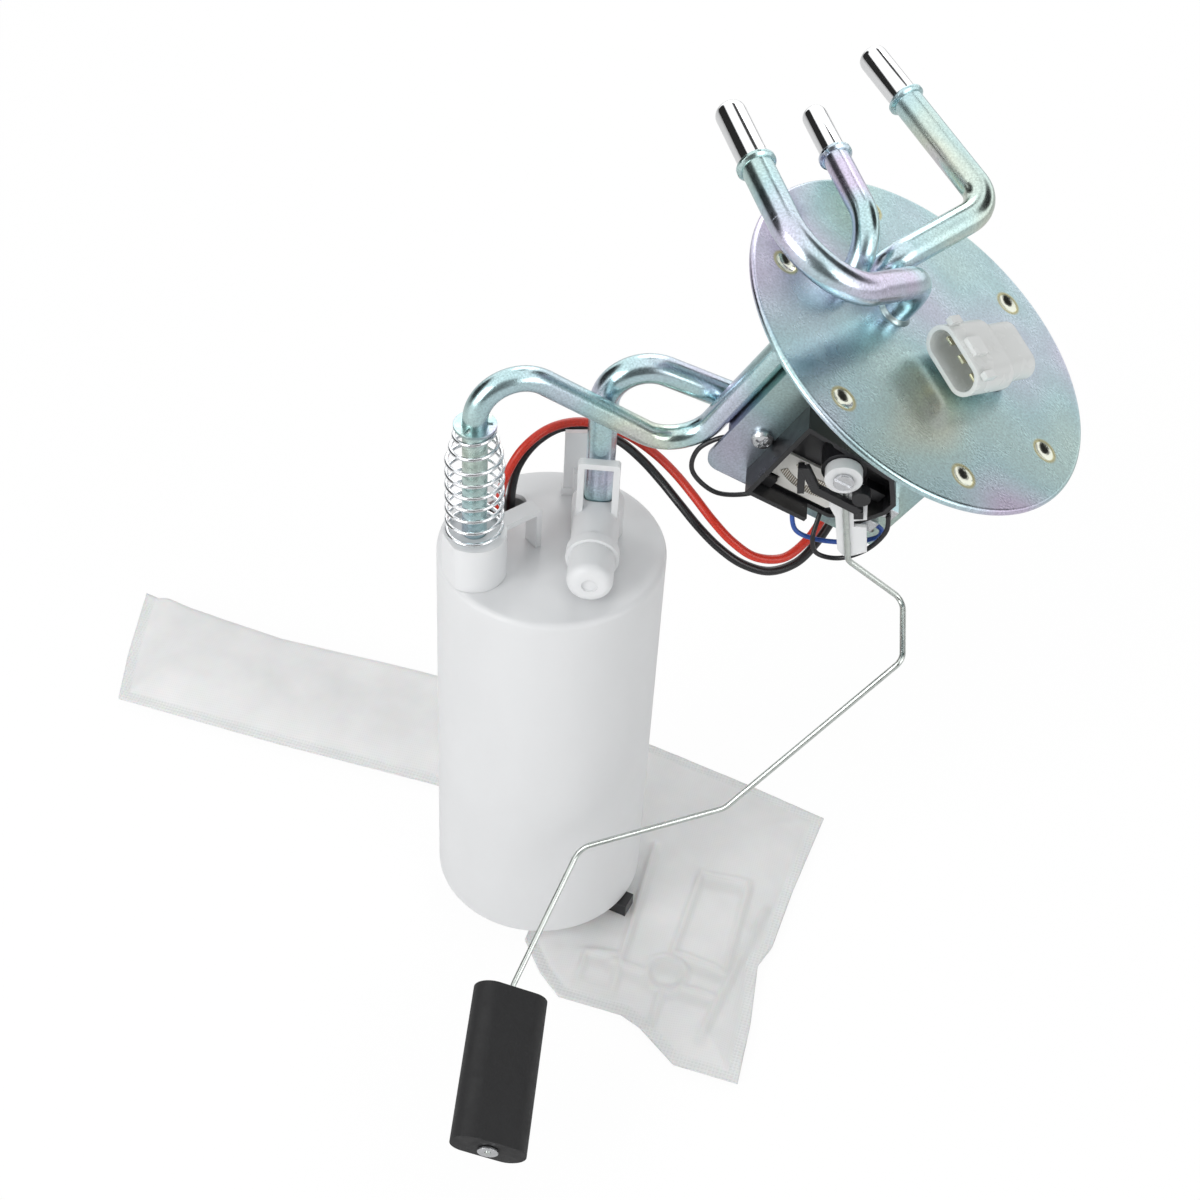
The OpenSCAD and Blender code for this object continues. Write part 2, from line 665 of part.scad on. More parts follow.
// Reservoir
module reservoir_shell() {
    color([0.90, 0.90, 0.88]) difference() {
        on_can() translate([0, 0, can_z0]) rotate_extrude($fn = 96) difference() {
            union() {
                square([can_r - can_edge, can_h]);
                translate([0, 0]) square([can_r, can_h - can_edge]);
                translate([can_r - can_edge, can_h - can_edge]) circle(r = can_edge);
            }
            translate([-1, -1]) square([can_r - can_wall + 1, can_h - can_wall + 1]);
        }
        translate([guide_axis[0], guide_axis[1], -can_top - 10]) cylinder(h = 20, d = 13);
        translate([feed_axis[0], feed_axis[1], -can_top - 10])
            cylinder(h = 20, d = fitting_sleeve_d);
        translate([-124.3, -6.8, -can_top - 10]) rotate([0, 0, 55]) linear_extrude(height = 20)
            stadium(15, 9.5);
        for (a = [50, 110, 170]) on_can() rotate([0, 0, a])
            translate([can_r - 6, 0, can_z0 + 12]) rotate([0, 90, 0]) cylinder(h = 12, d = 7);
    }
}

module reservoir_base() {
    color([0.88, 0.88, 0.86]) difference() {
        union() {
            on_can() translate([0, 0, can_z0])
                cylinder(h = base_t, r = can_r - can_wall, $fn = 96);
            on_pump() translate([0, 0, can_z0 + base_t - e])
                cylinder(h = 4 + e, d = pump_d + 2 * isolator_t + 6);
        }
        on_pump() translate([0, 0, can_z0 + base_t])
            cylinder(h = 10, d = pump_d + 2 * isolator_t, $fn = 64);
        on_pump() translate([0, 0, can_z0 - 1]) cylinder(h = 10, d = neck_d - 4);
        for (a = [140, 200, 260, 320]) on_can() rotate([0, 0, a])
            translate([30.5, 0, can_z0 - 1]) cylinder(h = 10, d = 5);
    }
}

module in_can() {
    intersection() {
        children();
        on_can() translate([0, 0, can_z0 - 1]) cylinder(h = can_h + 60, r = can_r, $fn = 96);
    }
}

module guide_boss() {
    color([0.91, 0.91, 0.89]) difference() {
        union() {
            in_can() translate([guide_axis[0], guide_axis[1], -can_top])
                cylinder(h = boss_h, d = boss_d);
            translate([guide_axis[0], guide_axis[1], -can_top - 14]) cylinder(h = 14 + e, d = 13);
            translate([-110, -20.6, -can_top]) rotate([0, 0, -34.8]) translate([-3, 0, 0])
                rotate([90, 0, 90]) linear_extrude(height = 6)
                    polygon([[-1, 0], [1, 0], [1, 16.2], [-15, 16.2], [-15, 14.2], [-1, 14.2]]);
        }
        translate([guide_axis[0], guide_axis[1], -can_top - 20])
            cylinder(h = 60, d = small_tube_d + 2 * guide_gap);
    }
}

module on_stub() {
    translate([feed_axis[0], feed_axis[1], stub_z]) rotate([0, 0, stub_dir]) rotate([0, 90, 0])
        children();
}

loop_out = 6.85;
loop_in = 4.65;
loop_at = 6.9;
loop_t = 3;
loop_top = -62.2;

module outlet_fitting() {
    color([0.90, 0.90, 0.87]) difference() {
        union() {
            translate([feed_axis[0], feed_axis[1], -can_top]) rotate_extrude()
                polygon([[0, 0], [fitting_d / 2, 0], [fitting_d / 2, fitting_h - 2.5],
                         [fitting_d / 2 - 1.6, fitting_h], [0, fitting_h]]);
            translate([feed_axis[0], feed_axis[1], sleeve_end])
                cylinder(h = -can_top - sleeve_end + e, d = fitting_sleeve_d);
            on_stub() cylinder(h = 20.7, d = 15.4);
            on_stub() translate([0, 0, 20.7]) cylinder(h = 3.6, d = 17.4);
            on_stub() translate([0, 0, 24.2]) cylinder(h = 4.1, d = stub_d);
            translate([feed_axis[0], feed_axis[1], sleeve_end - 8]) cylinder(h = 8 + e, d = 7);
            guide_loop();
        }
        translate([feed_axis[0], feed_axis[1], sleeve_end + 3])
            cylinder(h = 80, d = big_tube_d + 2 * fitting_gap);
        translate([feed_axis[0], feed_axis[1], sleeve_end - 9]) cylinder(h = 13, d = 4);
    }
}

// Guard loop that stands up in front of the feed tube
module guide_loop() {
    translate([feed_axis[0], feed_axis[1], 0]) rotate([0, 0, stub_dir])
        translate([loop_at - loop_t / 2, 0, 0]) rotate([90, 0, 90])
            linear_extrude(height = loop_t) difference() {
                polygon([[-loop_out, -88], [loop_out, -88], [loop_out, loop_top - 0.8],
                         [loop_out - 0.8, loop_top], [-loop_out + 0.8, loop_top],
                         [-loop_out, loop_top - 0.8]]);
                translate([-loop_in, -89]) square([2 * loop_in, loop_top - 2.2 + 89]);
            }
}

module fitting_cap() {
    color([0.88, 0.89, 0.87]) on_stub() translate([0, 0, 24.3]) difference() {
        rotate_extrude() difference() {
            union() {
                square([cap_d / 2, 9.7]);
                square([cap_d / 2 - 3, 12.7]);
                translate([cap_d / 2 - 3, 9.7]) circle(r = 3);
            }
            translate([-1, -1]) square([stub_d / 2 + 1, 5]);
            translate([-20, 0]) square([20, 20]);
        }
        translate([0, 0, 11.9]) cylinder(h = 2, d = 5);
    }
}

module upright_tab() {
    color([0.90, 0.90, 0.87]) translate([-108.3, 5.6, -can_top]) rotate([0, 0, 20.8]) union() {
        cube([8.4, 2, 26.7]);
        translate([-0.6, -0.6, 0]) cube([9.6, 3.2, 3]);
        translate([3.2, -3, 0]) cube([2, 4, 12]);
    }
}

// Pump inside the reservoir
module pump_case() {
    color([0.70, 0.71, 0.72]) on_pump() translate([0, 0, pump_z0 + pump_cap_l])
        cylinder(h = pump_l, d = pump_d, $fn = 64);
}

module pump_end_top() {
    color([0.14, 0.14, 0.15]) {
        on_pump() translate([0, 0, pump_z0 + pump_cap_l + pump_l]) union() {
            cylinder(h = pump_cap_l, d = pump_d - 3, $fn = 64);
            translate([-9, -6, pump_cap_l - e]) cube([3, 6, 4]);
            translate([feed_axis[0] - pump_c[0], feed_axis[1] - pump_c[1], pump_cap_l - e])
                cylinder(h = 8 + e, d = 7);
        }
    }
}

module pump_end_bottom() {
    color([0.14, 0.14, 0.15]) on_pump() translate([0, 0, pump_z0]) union() {
        cylinder(h = pump_cap_l, d = pump_d - 3, $fn = 64);
        translate([0, 0, -7]) cylinder(h = 7 + e, d = neck_d - 8);
    }
}

module pump_isolator() {
    color([0.11, 0.11, 0.12]) on_pump() translate([0, 0, can_z0 + base_t]) difference() {
        cylinder(h = 22, d = pump_d + 2 * isolator_t, $fn = 64);
        translate([0, 0, pump_z0 + pump_cap_l - can_z0 - base_t]) cylinder(h = 40, d = pump_d,
                                                                         $fn = 64);
        translate([0, 0, pump_z0 - can_z0 - base_t])
            cylinder(h = pump_cap_l + 1, d = pump_d - 3, $fn = 64);
        translate([0, 0, -1]) cylinder(h = 12, d = neck_d - 8);
    }
}

hose_low = pump_z0 + 2 * pump_cap_l + pump_l;
module inner_hose() {
    color([0.10, 0.10, 0.11]) translate([feed_axis[0], feed_axis[1], hose_low]) difference() {
        cylinder(h = sleeve_end - hose_low, d = 11);
        translate([0, 0, -1]) cylinder(h = sleeve_end - hose_low + 2, d = 7);
    }
}

module hose_clamps() {
    color([0.76, 0.77, 0.78]) translate([feed_axis[0], feed_axis[1], 0])
        for (z = [hose_low + 2, sleeve_end - 6]) translate([0, 0, z]) difference() {
            union() {
                cylinder(h = 4, d = 12.2);
                translate([5, -1.5, 0]) cube([3.4, 3, 4]);
            }
            translate([0, 0, -1]) cylinder(h = 6, d = 11);
        }
}

// Filter socks and what carries them
module strainer_neck() {
    color([0.10, 0.10, 0.11]) difference() {
        union() {
            on_pump() translate([0, 0, sock_top]) cylinder(h = can_z0 - sock_top, d = neck_d + 8);
            on_pump() translate([0, 0, can_z0 - e]) cylinder(h = base_t - 0.5, d = neck_d - 4);
            on_can() translate([0, -9, sock_top]) rotate([0, 0, -8]) cube([39.5, 7, sock_drop - 0.4]);
        }
        on_pump() translate([0, 0, sock_top - sock_t / 2]) cylinder(h = 40, d = neck_d - 8);
    }
}

sock_top = can_z0 - sock_drop;
sock_low = sock_top - sock_t;

module strainer_strip() {
    color([0.93, 0.93, 0.90]) translate([0, 0, sock_low]) linear_extrude(height = sock_t)
        polygon([[-313, 65], [-289, 60], [-245, 56], [-209, 58], [-176, 59], [-98, 58.4],
                 [-98, 6], [-157, 8], [-224, 6.5], [-296, 7], [-304, 32]]);
}

module strainer_pad() {
    color([0.93, 0.93, 0.90]) translate([0, 0, sock_low]) linear_extrude(height = sock_t)
        polygon([[-98, 58.4], [-82, 58], [-40, 51], [-5, 44], [-8, -24], [-11, -32], [-6, -86],
                 [-30, -86], [-46, -75], [-54, -72], [-78, -72], [-88, -64], [-98, -52]]);
}

module strainer_frame() {
    color([0.84, 0.85, 0.80]) translate([0, 0, sock_top]) difference() {
        union() {
            translate([-45, -51, 0]) cylinder(h = 1.6, r = 6.5);
            translate([-58, -53, 0]) cube([9, 4, 1.2]);
            translate([-41, -53, 0]) cube([22, 4, 1.2]);
            translate([-47, -70, 0]) cube([4, 15, 1.2]);
        }
        translate([-45, -51, -1]) cylinder(h = 5, r = 4.2);
    }
}

// Float arm
module wiper_carrier() {
    color([0.92, 0.92, 0.90]) on_face() translate([hub_a, hub_w, 0]) difference() {
        union() {
            translate([0, 0, hub_back]) cylinder(h = hub_t, d = hub_d);
            rotate([0, 0, rest_turn]) translate([0, 0, hub_back + 0.12])
                linear_extrude(height = carrier_top - hub_back - 0.12)
                    polygon([[4.2, -3.1], [12, -5], [14.5, -5], [19.5, -3.3], [35, -3.2],
                             [38.3, -1.4], [38.3, 1.6], [36.4, 6.2], [24.6, 6.4], [24.2, 2.4],
                             [21.6, 2.4], [21, 6.6], [8, 7.2], [3.6, 4.1]]);
        }
        translate([0, 0, hub_back - 1]) cylinder(h = hub_t + 2, d = pin_d + 2 * pin_gap);
        rotate([0, 0, rest_turn]) translate([wire_start, 0, arm_depth]) rotate([0, 90, 0])
            cylinder(h = 60, d = arm_wire_d, $fn = 32);
    }
}

// Black bridge over the float wire with the sprung finger that rides on the track
bridge_low = arm_depth + arm_wire_d / 2 + 0.05;
bridge_high = bridge_low + 2.15;
finger_low = bracket_front + tray_floor + card_t + 0.6;

module wiper_contact() {
    color([0.10, 0.10, 0.11]) on_face() translate([hub_a, hub_w, 0]) rotate([0, 0, rest_turn]) {
        union() {
            translate([0, 0, bridge_low]) linear_extrude(height = bridge_high - bridge_low)
                polygon([[-6.38, -10.15], [2.68, -7.58], [12.9, 5.37], [15.1, 3.63],
                         [4.32, -10.02], [-5.62, -12.85]]);
            translate([0, 0, bridge_low + 0.3])
                linear_extrude(height = bridge_high - bridge_low - 0.6)
                    polygon([[-6.2, -13.6], [5.1, -14.5], [5.1, -12.3], [-6.2, -11.2]]);
            translate([2.8, -14.4, finger_low]) cube([2.2, 2, bridge_low + 1 - finger_low]);
            translate([14.2, 2.6, carrier_top]) cube([3.2, 3, 3]);
        }
        translate([7.5, 5.2, carrier_top]) cylinder(h = 3.9, d = 5.8, $fn = 24);
    }
}

module float_wire() {
    color([0.72, 0.76, 0.72]) bent(arm_pts, arm_bends, arm_wire_d / 2);
}

float_dir = unit(arm_pts[7] - arm_pts[6]);

float_start = 2.6;
float_gap = 0.08;

module float_body() {
    color([0.08, 0.08, 0.09]) along(arm_pts[6] + float_dir * float_start, float_dir,
                                    from_flange([1, 0.4, 0.1])) difference() {
        linear_extrude(height = float_l) stadium(float_w, float_t);
        translate([0, 0, -1]) cylinder(h = float_l + 2, d = arm_wire_d + 2 * float_gap, $fn = 32);
    }
}

module push_nut() {
    color([0.74, 0.75, 0.76]) along(arm_pts[6] + float_dir * (float_start + float_l + 0.3), float_dir,
                                    from_flange([1, 0, 0])) difference() {
        cylinder(h = 0.8, d = 7);
        translate([0, 0, -1]) cylinder(h = 3, d = arm_wire_d, $fn = 32);
    }
}

flange_plate();
feed_tube();
return_tube();
vapour_tube();
braze_rings();
connector_shell();
connector_terminals();
connector_seal();
bracket_plate();
sender_frame();
resistor_card();
resistor_track();
sender_screws();
sender_rivet();
sender_terminals();
pivot_pin();
sender_wire_blue();
sender_wire_left();
sender_wire_right();
pump_wire_red();
pump_wire_black();
spring_retainer();
spring();
reservoir_shell();
reservoir_base();
guide_boss();
outlet_fitting();
fitting_cap();
upright_tab();
pump_case();
pump_end_top();
pump_end_bottom();
pump_isolator();
inner_hose();
hose_clamps();
strainer_neck();
strainer_strip();
strainer_pad();
strainer_frame();
wiper_carrier();
wiper_contact();
float_wire();
float_body();
push_nut();
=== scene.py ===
"""Fuel pump module for a tank: looks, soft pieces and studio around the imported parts.

Shapes are in millimetres of the shared frame and turn into metres where a mesh is made.
Materials and lamps are in metres.
"""

import math

import bmesh
import bpy
import numpy as np
from mathutils import Matrix, Vector, noise


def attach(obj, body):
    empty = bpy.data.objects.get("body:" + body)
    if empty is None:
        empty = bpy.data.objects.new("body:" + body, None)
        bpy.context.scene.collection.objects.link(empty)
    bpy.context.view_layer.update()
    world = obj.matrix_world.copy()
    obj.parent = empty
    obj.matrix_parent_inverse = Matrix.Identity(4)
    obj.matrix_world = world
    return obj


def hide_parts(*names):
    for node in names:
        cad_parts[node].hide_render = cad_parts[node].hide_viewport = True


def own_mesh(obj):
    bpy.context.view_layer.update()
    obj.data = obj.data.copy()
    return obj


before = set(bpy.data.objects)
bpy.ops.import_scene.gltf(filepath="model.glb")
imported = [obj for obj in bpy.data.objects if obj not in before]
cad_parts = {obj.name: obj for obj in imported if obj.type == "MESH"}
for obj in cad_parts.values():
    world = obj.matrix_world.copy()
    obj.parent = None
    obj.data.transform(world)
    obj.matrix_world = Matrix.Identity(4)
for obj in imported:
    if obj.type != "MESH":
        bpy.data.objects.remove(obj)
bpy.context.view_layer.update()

MM = 0.001

# Places shared with the source
PLATE_TILT = math.radians(29.2)
BRACKET_TURN = math.radians(14)
BRACKET_FOOT = (-29, -2)
GUIDE_AXIS = (-123.5, -40.05)
PLUG_MOUTH = (7.5, -11)
PLUG_LONG = 23.5
PLUG_WAY = (0.606, 0.795)
PLUG_FOOT = tuple(a + PLUG_LONG * b for a, b in zip(PLUG_MOUTH, PLUG_WAY))
FLOOR_Z = -272.0


def from_flange(u, v, w):
    """A point of the mounting plate's own frame."""
    c, s = math.cos(PLATE_TILT), math.sin(PLATE_TILT)
    return Vector((u * c + w * s, v, -u * s + w * c))


def from_bracket(a, d, w):
    """A point of the bracket's face: a across, d toward the viewer, w up the plate's normal."""
    c, s = math.cos(BRACKET_TURN), math.sin(BRACKET_TURN)
    return from_flange(BRACKET_FOOT[0] + a * c + d * s, BRACKET_FOOT[1] + a * s - d * c, w)


def ring_about(center, radius, step):
    """Corners of a closed ring, one for each step in degrees."""
    return [(center[0] + radius * math.cos(math.radians(a)),
             center[1] + radius * math.sin(math.radians(a))) for a in range(0, 361, step)]


# Camera, at the photograph's place
CAMERA_AT = (43.27, -501.69, 370.32)
CAMERA_TURN = 15.03
CAMERA_RISE = 44.29
CAMERA_ROLL = 3.752
FOCAL_PX = 2086.45
PHOTO_PX = 1200
SENSOR = 36
CLIP_END = 20


def set_camera():
    turn, rise, roll = (math.radians(a) for a in (CAMERA_TURN, CAMERA_RISE, CAMERA_ROLL))
    back = Vector((math.sin(turn) * math.cos(rise), -math.cos(turn) * math.cos(rise),
                   math.sin(rise)))
    level = Vector((math.cos(turn), math.sin(turn), 0))
    upright = back.cross(level)
    right = level * math.cos(roll) + upright * math.sin(roll)
    up = upright * math.cos(roll) - level * math.sin(roll)
    data = bpy.data.cameras.new("camera")
    data.sensor_width = SENSOR
    data.lens = SENSOR * FOCAL_PX / PHOTO_PX
    data.clip_end = CLIP_END
    camera = bpy.data.objects.new("camera", data)
    camera.matrix_world = (Matrix.Translation(Vector(CAMERA_AT) * MM)
                           @ Matrix((right, up, back)).transposed().to_4x4())
    bpy.context.scene.collection.objects.link(camera)
    bpy.context.scene.camera = camera


# Shader nodes
def feed(tree, socket, value):
    """Link the socket to another one, or set it. None leaves it as it is."""
    if isinstance(value, bpy.types.NodeSocket):
        tree.links.new(value, socket)
    elif value is not None:
        socket.default_value = value


def grow(tree, kind, inputs=(), **settings):
    """A new node with the inputs given as pairs of socket and value."""
    node = tree.nodes.new(kind)
    for key, value in settings.items():
        setattr(node, key, value)
    for socket, value in inputs:
        feed(tree, node.inputs[socket], value)
    return node


class Paint:
    """A Principled material under construction, with short names for the nodes it uses."""

    def __init__(self, name, color, rough, metal=0.0, soft=0.35, **sockets):
        self.mat = bpy.data.materials.new(name)
        self.mat.use_nodes = True
        self.tree = self.mat.node_tree
        self.shader = self.tree.nodes["Principled BSDF"]
        self.shader.inputs["Base Color"].default_value = (*color, 1)
        self.shader.inputs["Roughness"].default_value = rough
        self.shader.inputs["Metallic"].default_value = metal
        for key, value in sockets.items():
            self.shader.inputs[key.replace("_", " ")].default_value = value
        self.place = self.add("ShaderNodeTexCoord").outputs["Object"]
        if soft:
            edge = self.add("ShaderNodeBevel", [("Radius", soft * MM)], samples=4)
            feed(self.tree, self.shader.inputs["Normal"], edge.outputs["Normal"])

    def add(self, kind, inputs=(), **settings):
        return grow(self.tree, kind, inputs, **settings)

    def noise(self, scale, detail=2.0, stretch=(1, 1, 1), warp=0.0):
        scaled = self.add("ShaderNodeMapping", [("Vector", self.place), ("Scale", stretch)])
        return self.add("ShaderNodeTexNoise",
                        [("Vector", scaled.outputs["Vector"]), ("Scale", scale),
                         ("Detail", detail), ("Distortion", warp)]).outputs["Fac"]

    def wave(self, scale, direction):
        pace = Vector(direction).normalized() * scale * 2 * math.pi
        along = self.add("ShaderNodeVectorMath", [(0, self.place), (1, pace)],
                         operation="DOT_PRODUCT")
        return self.math("SINE", along.outputs["Value"])

    def math(self, operation, a, b=None, c=None):
        node = self.add("ShaderNodeMath", enumerate((a, b, c)), operation=operation)
        return node.outputs[0]

    def span(self, value, low, high, to_low=0.0, to_high=1.0):
        return self.add("ShaderNodeMapRange",
                        [("Value", value), ("From Min", low), ("From Max", high),
                         ("To Min", to_low), ("To Max", to_high)]).outputs["Result"]

    def ramp(self, value, stops):
        node = self.add("ShaderNodeValToRGB", [("Fac", value)])
        elements = node.color_ramp.elements
        while len(elements) < len(stops):
            elements.new(0.5)
        for element, (at, color) in zip(elements, stops):
            element.position = at
            element.color = (*color, 1)
        return node.outputs["Color"]

    def mix(self, share, a, b, blend="MIX"):
        a, b = ((*v, 1) if isinstance(v, tuple) else v for v in (a, b))
        node = self.add("ShaderNodeMix", data_type="RGBA", blend_type=blend)
        for socket, value in ((0, share), (6, a), (7, b)):
            feed(self.tree, node.inputs[socket], value)
        return node.outputs[2]

    def distance(self, point):
        node = self.add("ShaderNodeVectorMath", [(0, self.place), (1, Vector(point) * MM)],
                        operation="DISTANCE")
        return node.outputs["Value"]

    def color(self, value):
        feed(self.tree, self.shader.inputs["Base Color"], value)

    def rough(self, value):
        feed(self.tree, self.shader.inputs["Roughness"], value)

    def bump(self, height, distance, strength=1.0):
        node = self.add("ShaderNodeBump", [("Strength", strength), ("Distance", distance),
                                           ("Height", height)])
        before = self.shader.inputs["Normal"]
        if before.is_linked:
            feed(self.tree, node.inputs["Normal"], before.links[0].from_socket)
        feed(self.tree, before, node.outputs["Normal"])


# Materials, in metres. Noise is read between its usual low and high.
LOW, HIGH = 0.3, 0.7
ZINC_TINTS = [(0.30, (0.66, 0.60, 0.76)), (0.40, (0.60, 0.69, 0.78)),
              (0.50, (0.50, 0.69, 0.72)), (0.60, (0.54, 0.71, 0.69)),
              (0.70, (0.68, 0.74, 0.64)), (0.80, (0.72, 0.65, 0.76))]
CHROME = (0.86, 0.87, 0.88)
CHROME_ROUGH = 0.07
PIT_RIM = (0.52, 0.50, 0.30)
# Inside each pit the colour is lightened as a painted highlight; the yellow rim is the
# chromate's own colour.
PIT_PAINTED_HIGHLIGHT = (0.70, 0.72, 0.62)
PIT_ROUGH = 0.13
PIT_R = 0.0032
RIM_RISES = (0.0029, 0.0034)
RIM_FALLS = (0.0046, 0.0039)


def zinc(name, spread, rough, tip=None, shade=1.0, pits=()):
    """Passivated zinc: slow drifts of hue over a fine grain. A tube's tip is bright chrome,
    and pressed pits have a yellow rim round a lighter centre that is a painted highlight."""
    p = Paint(name, (0.6, 0.72, 0.74), rough, 1.0)
    hue = p.noise(spread, 0.6, warp=0.3)
    # A shade below 1 darkens the whole tint: painted shade.
    tint = p.ramp(hue, [(at, tuple(c * shade for c in color)) for at, color in ZINC_TINTS])
    grain = p.noise(1500, 3)
    tint = p.mix(1.0, tint, p.span(grain, LOW, HIGH, 0.80, 1.10), "MULTIPLY")
    cloudy = p.span(p.noise(90, 3), LOW, HIGH, rough - 0.05, rough + 0.07)
    if tip is None:
        for pit in pits:
            far = p.distance(pit)
            rim = p.math("MULTIPLY", p.span(far, *RIM_RISES), p.span(far, *RIM_FALLS))
            within = p.math("LESS_THAN", far, PIT_R)
            # Painted highlight inside the pit, within its yellow chromate rim.
            tint = p.mix(within, p.mix(rim, tint, PIT_RIM), PIT_PAINTED_HIGHLIGHT)
            cloudy = p.math("MULTIPLY_ADD", p.math("SUBTRACT", PIT_ROUGH, cloudy), within,
                            cloudy)
        p.color(tint)
        p.rough(cloudy)
        p.bump(grain, 0.00006, 0.6)
        return p.mat
    end, reach = tip
    at_tip = p.math("LESS_THAN", p.distance(end), reach * MM)
    p.color(p.mix(at_tip, tint, CHROME))
    p.rough(p.math("MULTIPLY_ADD", p.math("SUBTRACT", CHROME_ROUGH, cloudy), at_tip, cloudy))
    p.bump(p.math("MULTIPLY", grain, p.math("SUBTRACT", 1.0, at_tip)), 0.00003, 0.4)
    return p.mat


def plain_metal(name, color, rough, scratch=900):
    p = Paint(name, color, rough, 1.0)
    wear = p.noise(scratch, 3)
    p.color(p.mix(p.span(wear, LOW, HIGH), tuple(c * 0.86 for c in color), color))
    p.rough(p.span(p.noise(120, 2), LOW, HIGH, rough * 0.8, rough * 1.3))
    p.bump(wear, 0.00002, 0.4)
    return p.mat


def natural_plastic(name, color, glow, rough=0.38):
    """Milky plastic: light scatters inside it, and it is a little uneven from moulding."""
    p = Paint(name, color, rough, Subsurface_Weight=glow, Subsurface_Scale=0.004,
              Subsurface_Radius=(1.0, 1.0, 1.0), Specular_IOR_Level=0.35)
    cloud = p.span(p.noise(40, 2, (1, 1, 0.45)), LOW, HIGH)
    p.color(p.mix(cloud, tuple(c * 0.965 for c in color), color))
    p.rough(p.span(p.noise(150, 2), LOW, HIGH, rough - 0.06, rough + 0.08))
    p.bump(p.noise(700, 2), 0.00003, 0.35)
    return p.mat


def dark_plastic(name, color, rough, grain=1600, depth=0.00003):
    """Moulded or foamed dark plastic, rubber and wire covering."""
    p = Paint(name, color, rough)
    speck = p.noise(grain, 3)
    p.color(p.mix(p.span(speck, LOW, HIGH), tuple(c * 0.75 for c in color), color))
    p.rough(p.span(p.noise(200, 2), LOW, HIGH, rough - 0.07, rough + 0.09))
    p.bump(speck, depth, 0.5)
    return p.mat


def filter_cloth(name, see_through):
    """Fine woven nylon: crossed threads, a hatch in the welded seams, faintly see-through."""
    p = Paint(name, (0.90, 0.91, 0.90), 0.75, 0, 0, Sheen_Weight=0.15, Alpha=see_through,
              Subsurface_Weight=0.15, Subsurface_Scale=0.002)
    seam = p.add("ShaderNodeAttribute", attribute_name="seam").outputs["Fac"]
    warp = p.math("ABSOLUTE", p.wave(560, (1, 0.06, 0)))
    weft = p.math("ABSOLUTE", p.wave(560, (-0.06, 1, 0)))
    weave = p.math("MAXIMUM", warp, weft)
    hatch = p.math("MULTIPLY", p.wave(520, (1, 1, 0)), p.wave(520, (1, -1, 0)))
    cloud = p.span(p.noise(60, 3), LOW, HIGH, 0.93, 1.0)
    dots = p.math("MULTIPLY", p.span(hatch, 0.1, 0.6, 0.0, 0.07), seam)
    shade = p.math("SUBTRACT", p.math("MULTIPLY", cloud, p.span(weave, 0.0, 1.0, 0.93, 1.0)),
                   dots)
    p.color(p.mix(1.0, (0.96, 0.965, 0.965), shade, "MULTIPLY"))
    p.bump(weave, 0.00004, 0.4)
    p.bump(p.math("MULTIPLY", hatch, seam), 0.00010, 0.6)
    return p.mat


def resistor_ink(name):
    """Fired silver ink in a fine ladder of bars, with brown ceramic between them."""
    p = Paint(name, (0.62, 0.60, 0.55), 0.35, 0.85)
    bars = p.span(p.wave(1300, (0.9, 0.2, -0.35)), -0.2, 0.3)
    p.color(p.mix(bars, (0.24, 0.20, 0.15), (0.74, 0.72, 0.66)))
    p.bump(bars, 0.00008, 0.6)
    return p.mat


FEED_TIP = from_flange(-85.9, 11.2, 17.9)
RETURN_TIP = from_flange(-62, 45.1, 13)
VAPOUR_TIP = from_flange(-54.5, 84, 18)
PIT_RING_R = 48.7
PIT_Z = 2.3
PITS = [from_flange(PIT_RING_R * math.cos(math.radians(a)),
                    PIT_RING_R * math.sin(math.radians(a)), PIT_Z)
        for a in (-168, -110, -59, -10, 62, 128)]

finishes = {
    "zinc_plate": zinc("zinc_plate", 19, 0.27, pits=PITS),
    # The bracket and the spring retainer take darker copies of the zinc below (shade 0.78 and
    # 0.72): painted shade.
    "zinc_bracket": zinc("zinc_bracket", 24, 0.33, shade=0.78),
    "feed_tube": zinc("feed_tube_zinc", 30, 0.24, (FEED_TIP, 22.2)),
    "return_tube": zinc("return_tube_zinc", 26, 0.24, (RETURN_TIP, 19.2)),
    "vapour_tube": zinc("vapour_tube_zinc", 34, 0.24, (VAPOUR_TIP, 20.2)),
    "braze": plain_metal("braze", (0.50, 0.60, 0.60), 0.3),
    "clear_nylon": natural_plastic("clear_nylon", (0.80, 0.82, 0.81), 0.35, 0.25),
    "tinned_brass": plain_metal("tinned_brass", (0.78, 0.72, 0.52), 0.25),
    "seal_rubber": dark_plastic("seal_rubber", (0.02, 0.02, 0.022), 0.7),
    "black_plastic": dark_plastic("black_plastic", (0.014, 0.014, 0.016), 0.33),
    "ceramic": natural_plastic("ceramic", (0.80, 0.79, 0.75), 0.05, 0.3),
    "silver_ink": resistor_ink("silver_ink"),
    "steel": plain_metal("steel", (0.66, 0.67, 0.69), 0.24),
    "blue_wire": dark_plastic("blue_wire", (0.03, 0.10, 0.42), 0.3),
    "black_wire": dark_plastic("black_wire", (0.012, 0.012, 0.014), 0.32),
    "red_wire": dark_plastic("red_wire", (0.68, 0.035, 0.015), 0.34),
    "spring_steel": plain_metal("spring_steel", (0.78, 0.80, 0.82), 0.12),
    "white_plastic": natural_plastic("white_plastic", (0.80, 0.81, 0.82), 0.25),
    "pump_steel": plain_metal("pump_steel", (0.62, 0.63, 0.65), 0.3),
    "filter_cloth": filter_cloth("filter_cloth", 0.95),
    "sheer_cloth": filter_cloth("sheer_cloth", 0.76),
    "cream_plastic": natural_plastic("cream_plastic", (0.82, 0.83, 0.78), 0.2),
    "arm_wire": plain_metal("arm_wire", (0.62, 0.66, 0.63), 0.26, 500),
    "float_foam": dark_plastic("float_foam", (0.011, 0.011, 0.012), 0.6, 1100, 0.00006),
    "retainer_zinc": zinc("retainer_zinc", 60, 0.34, shade=0.72),
}

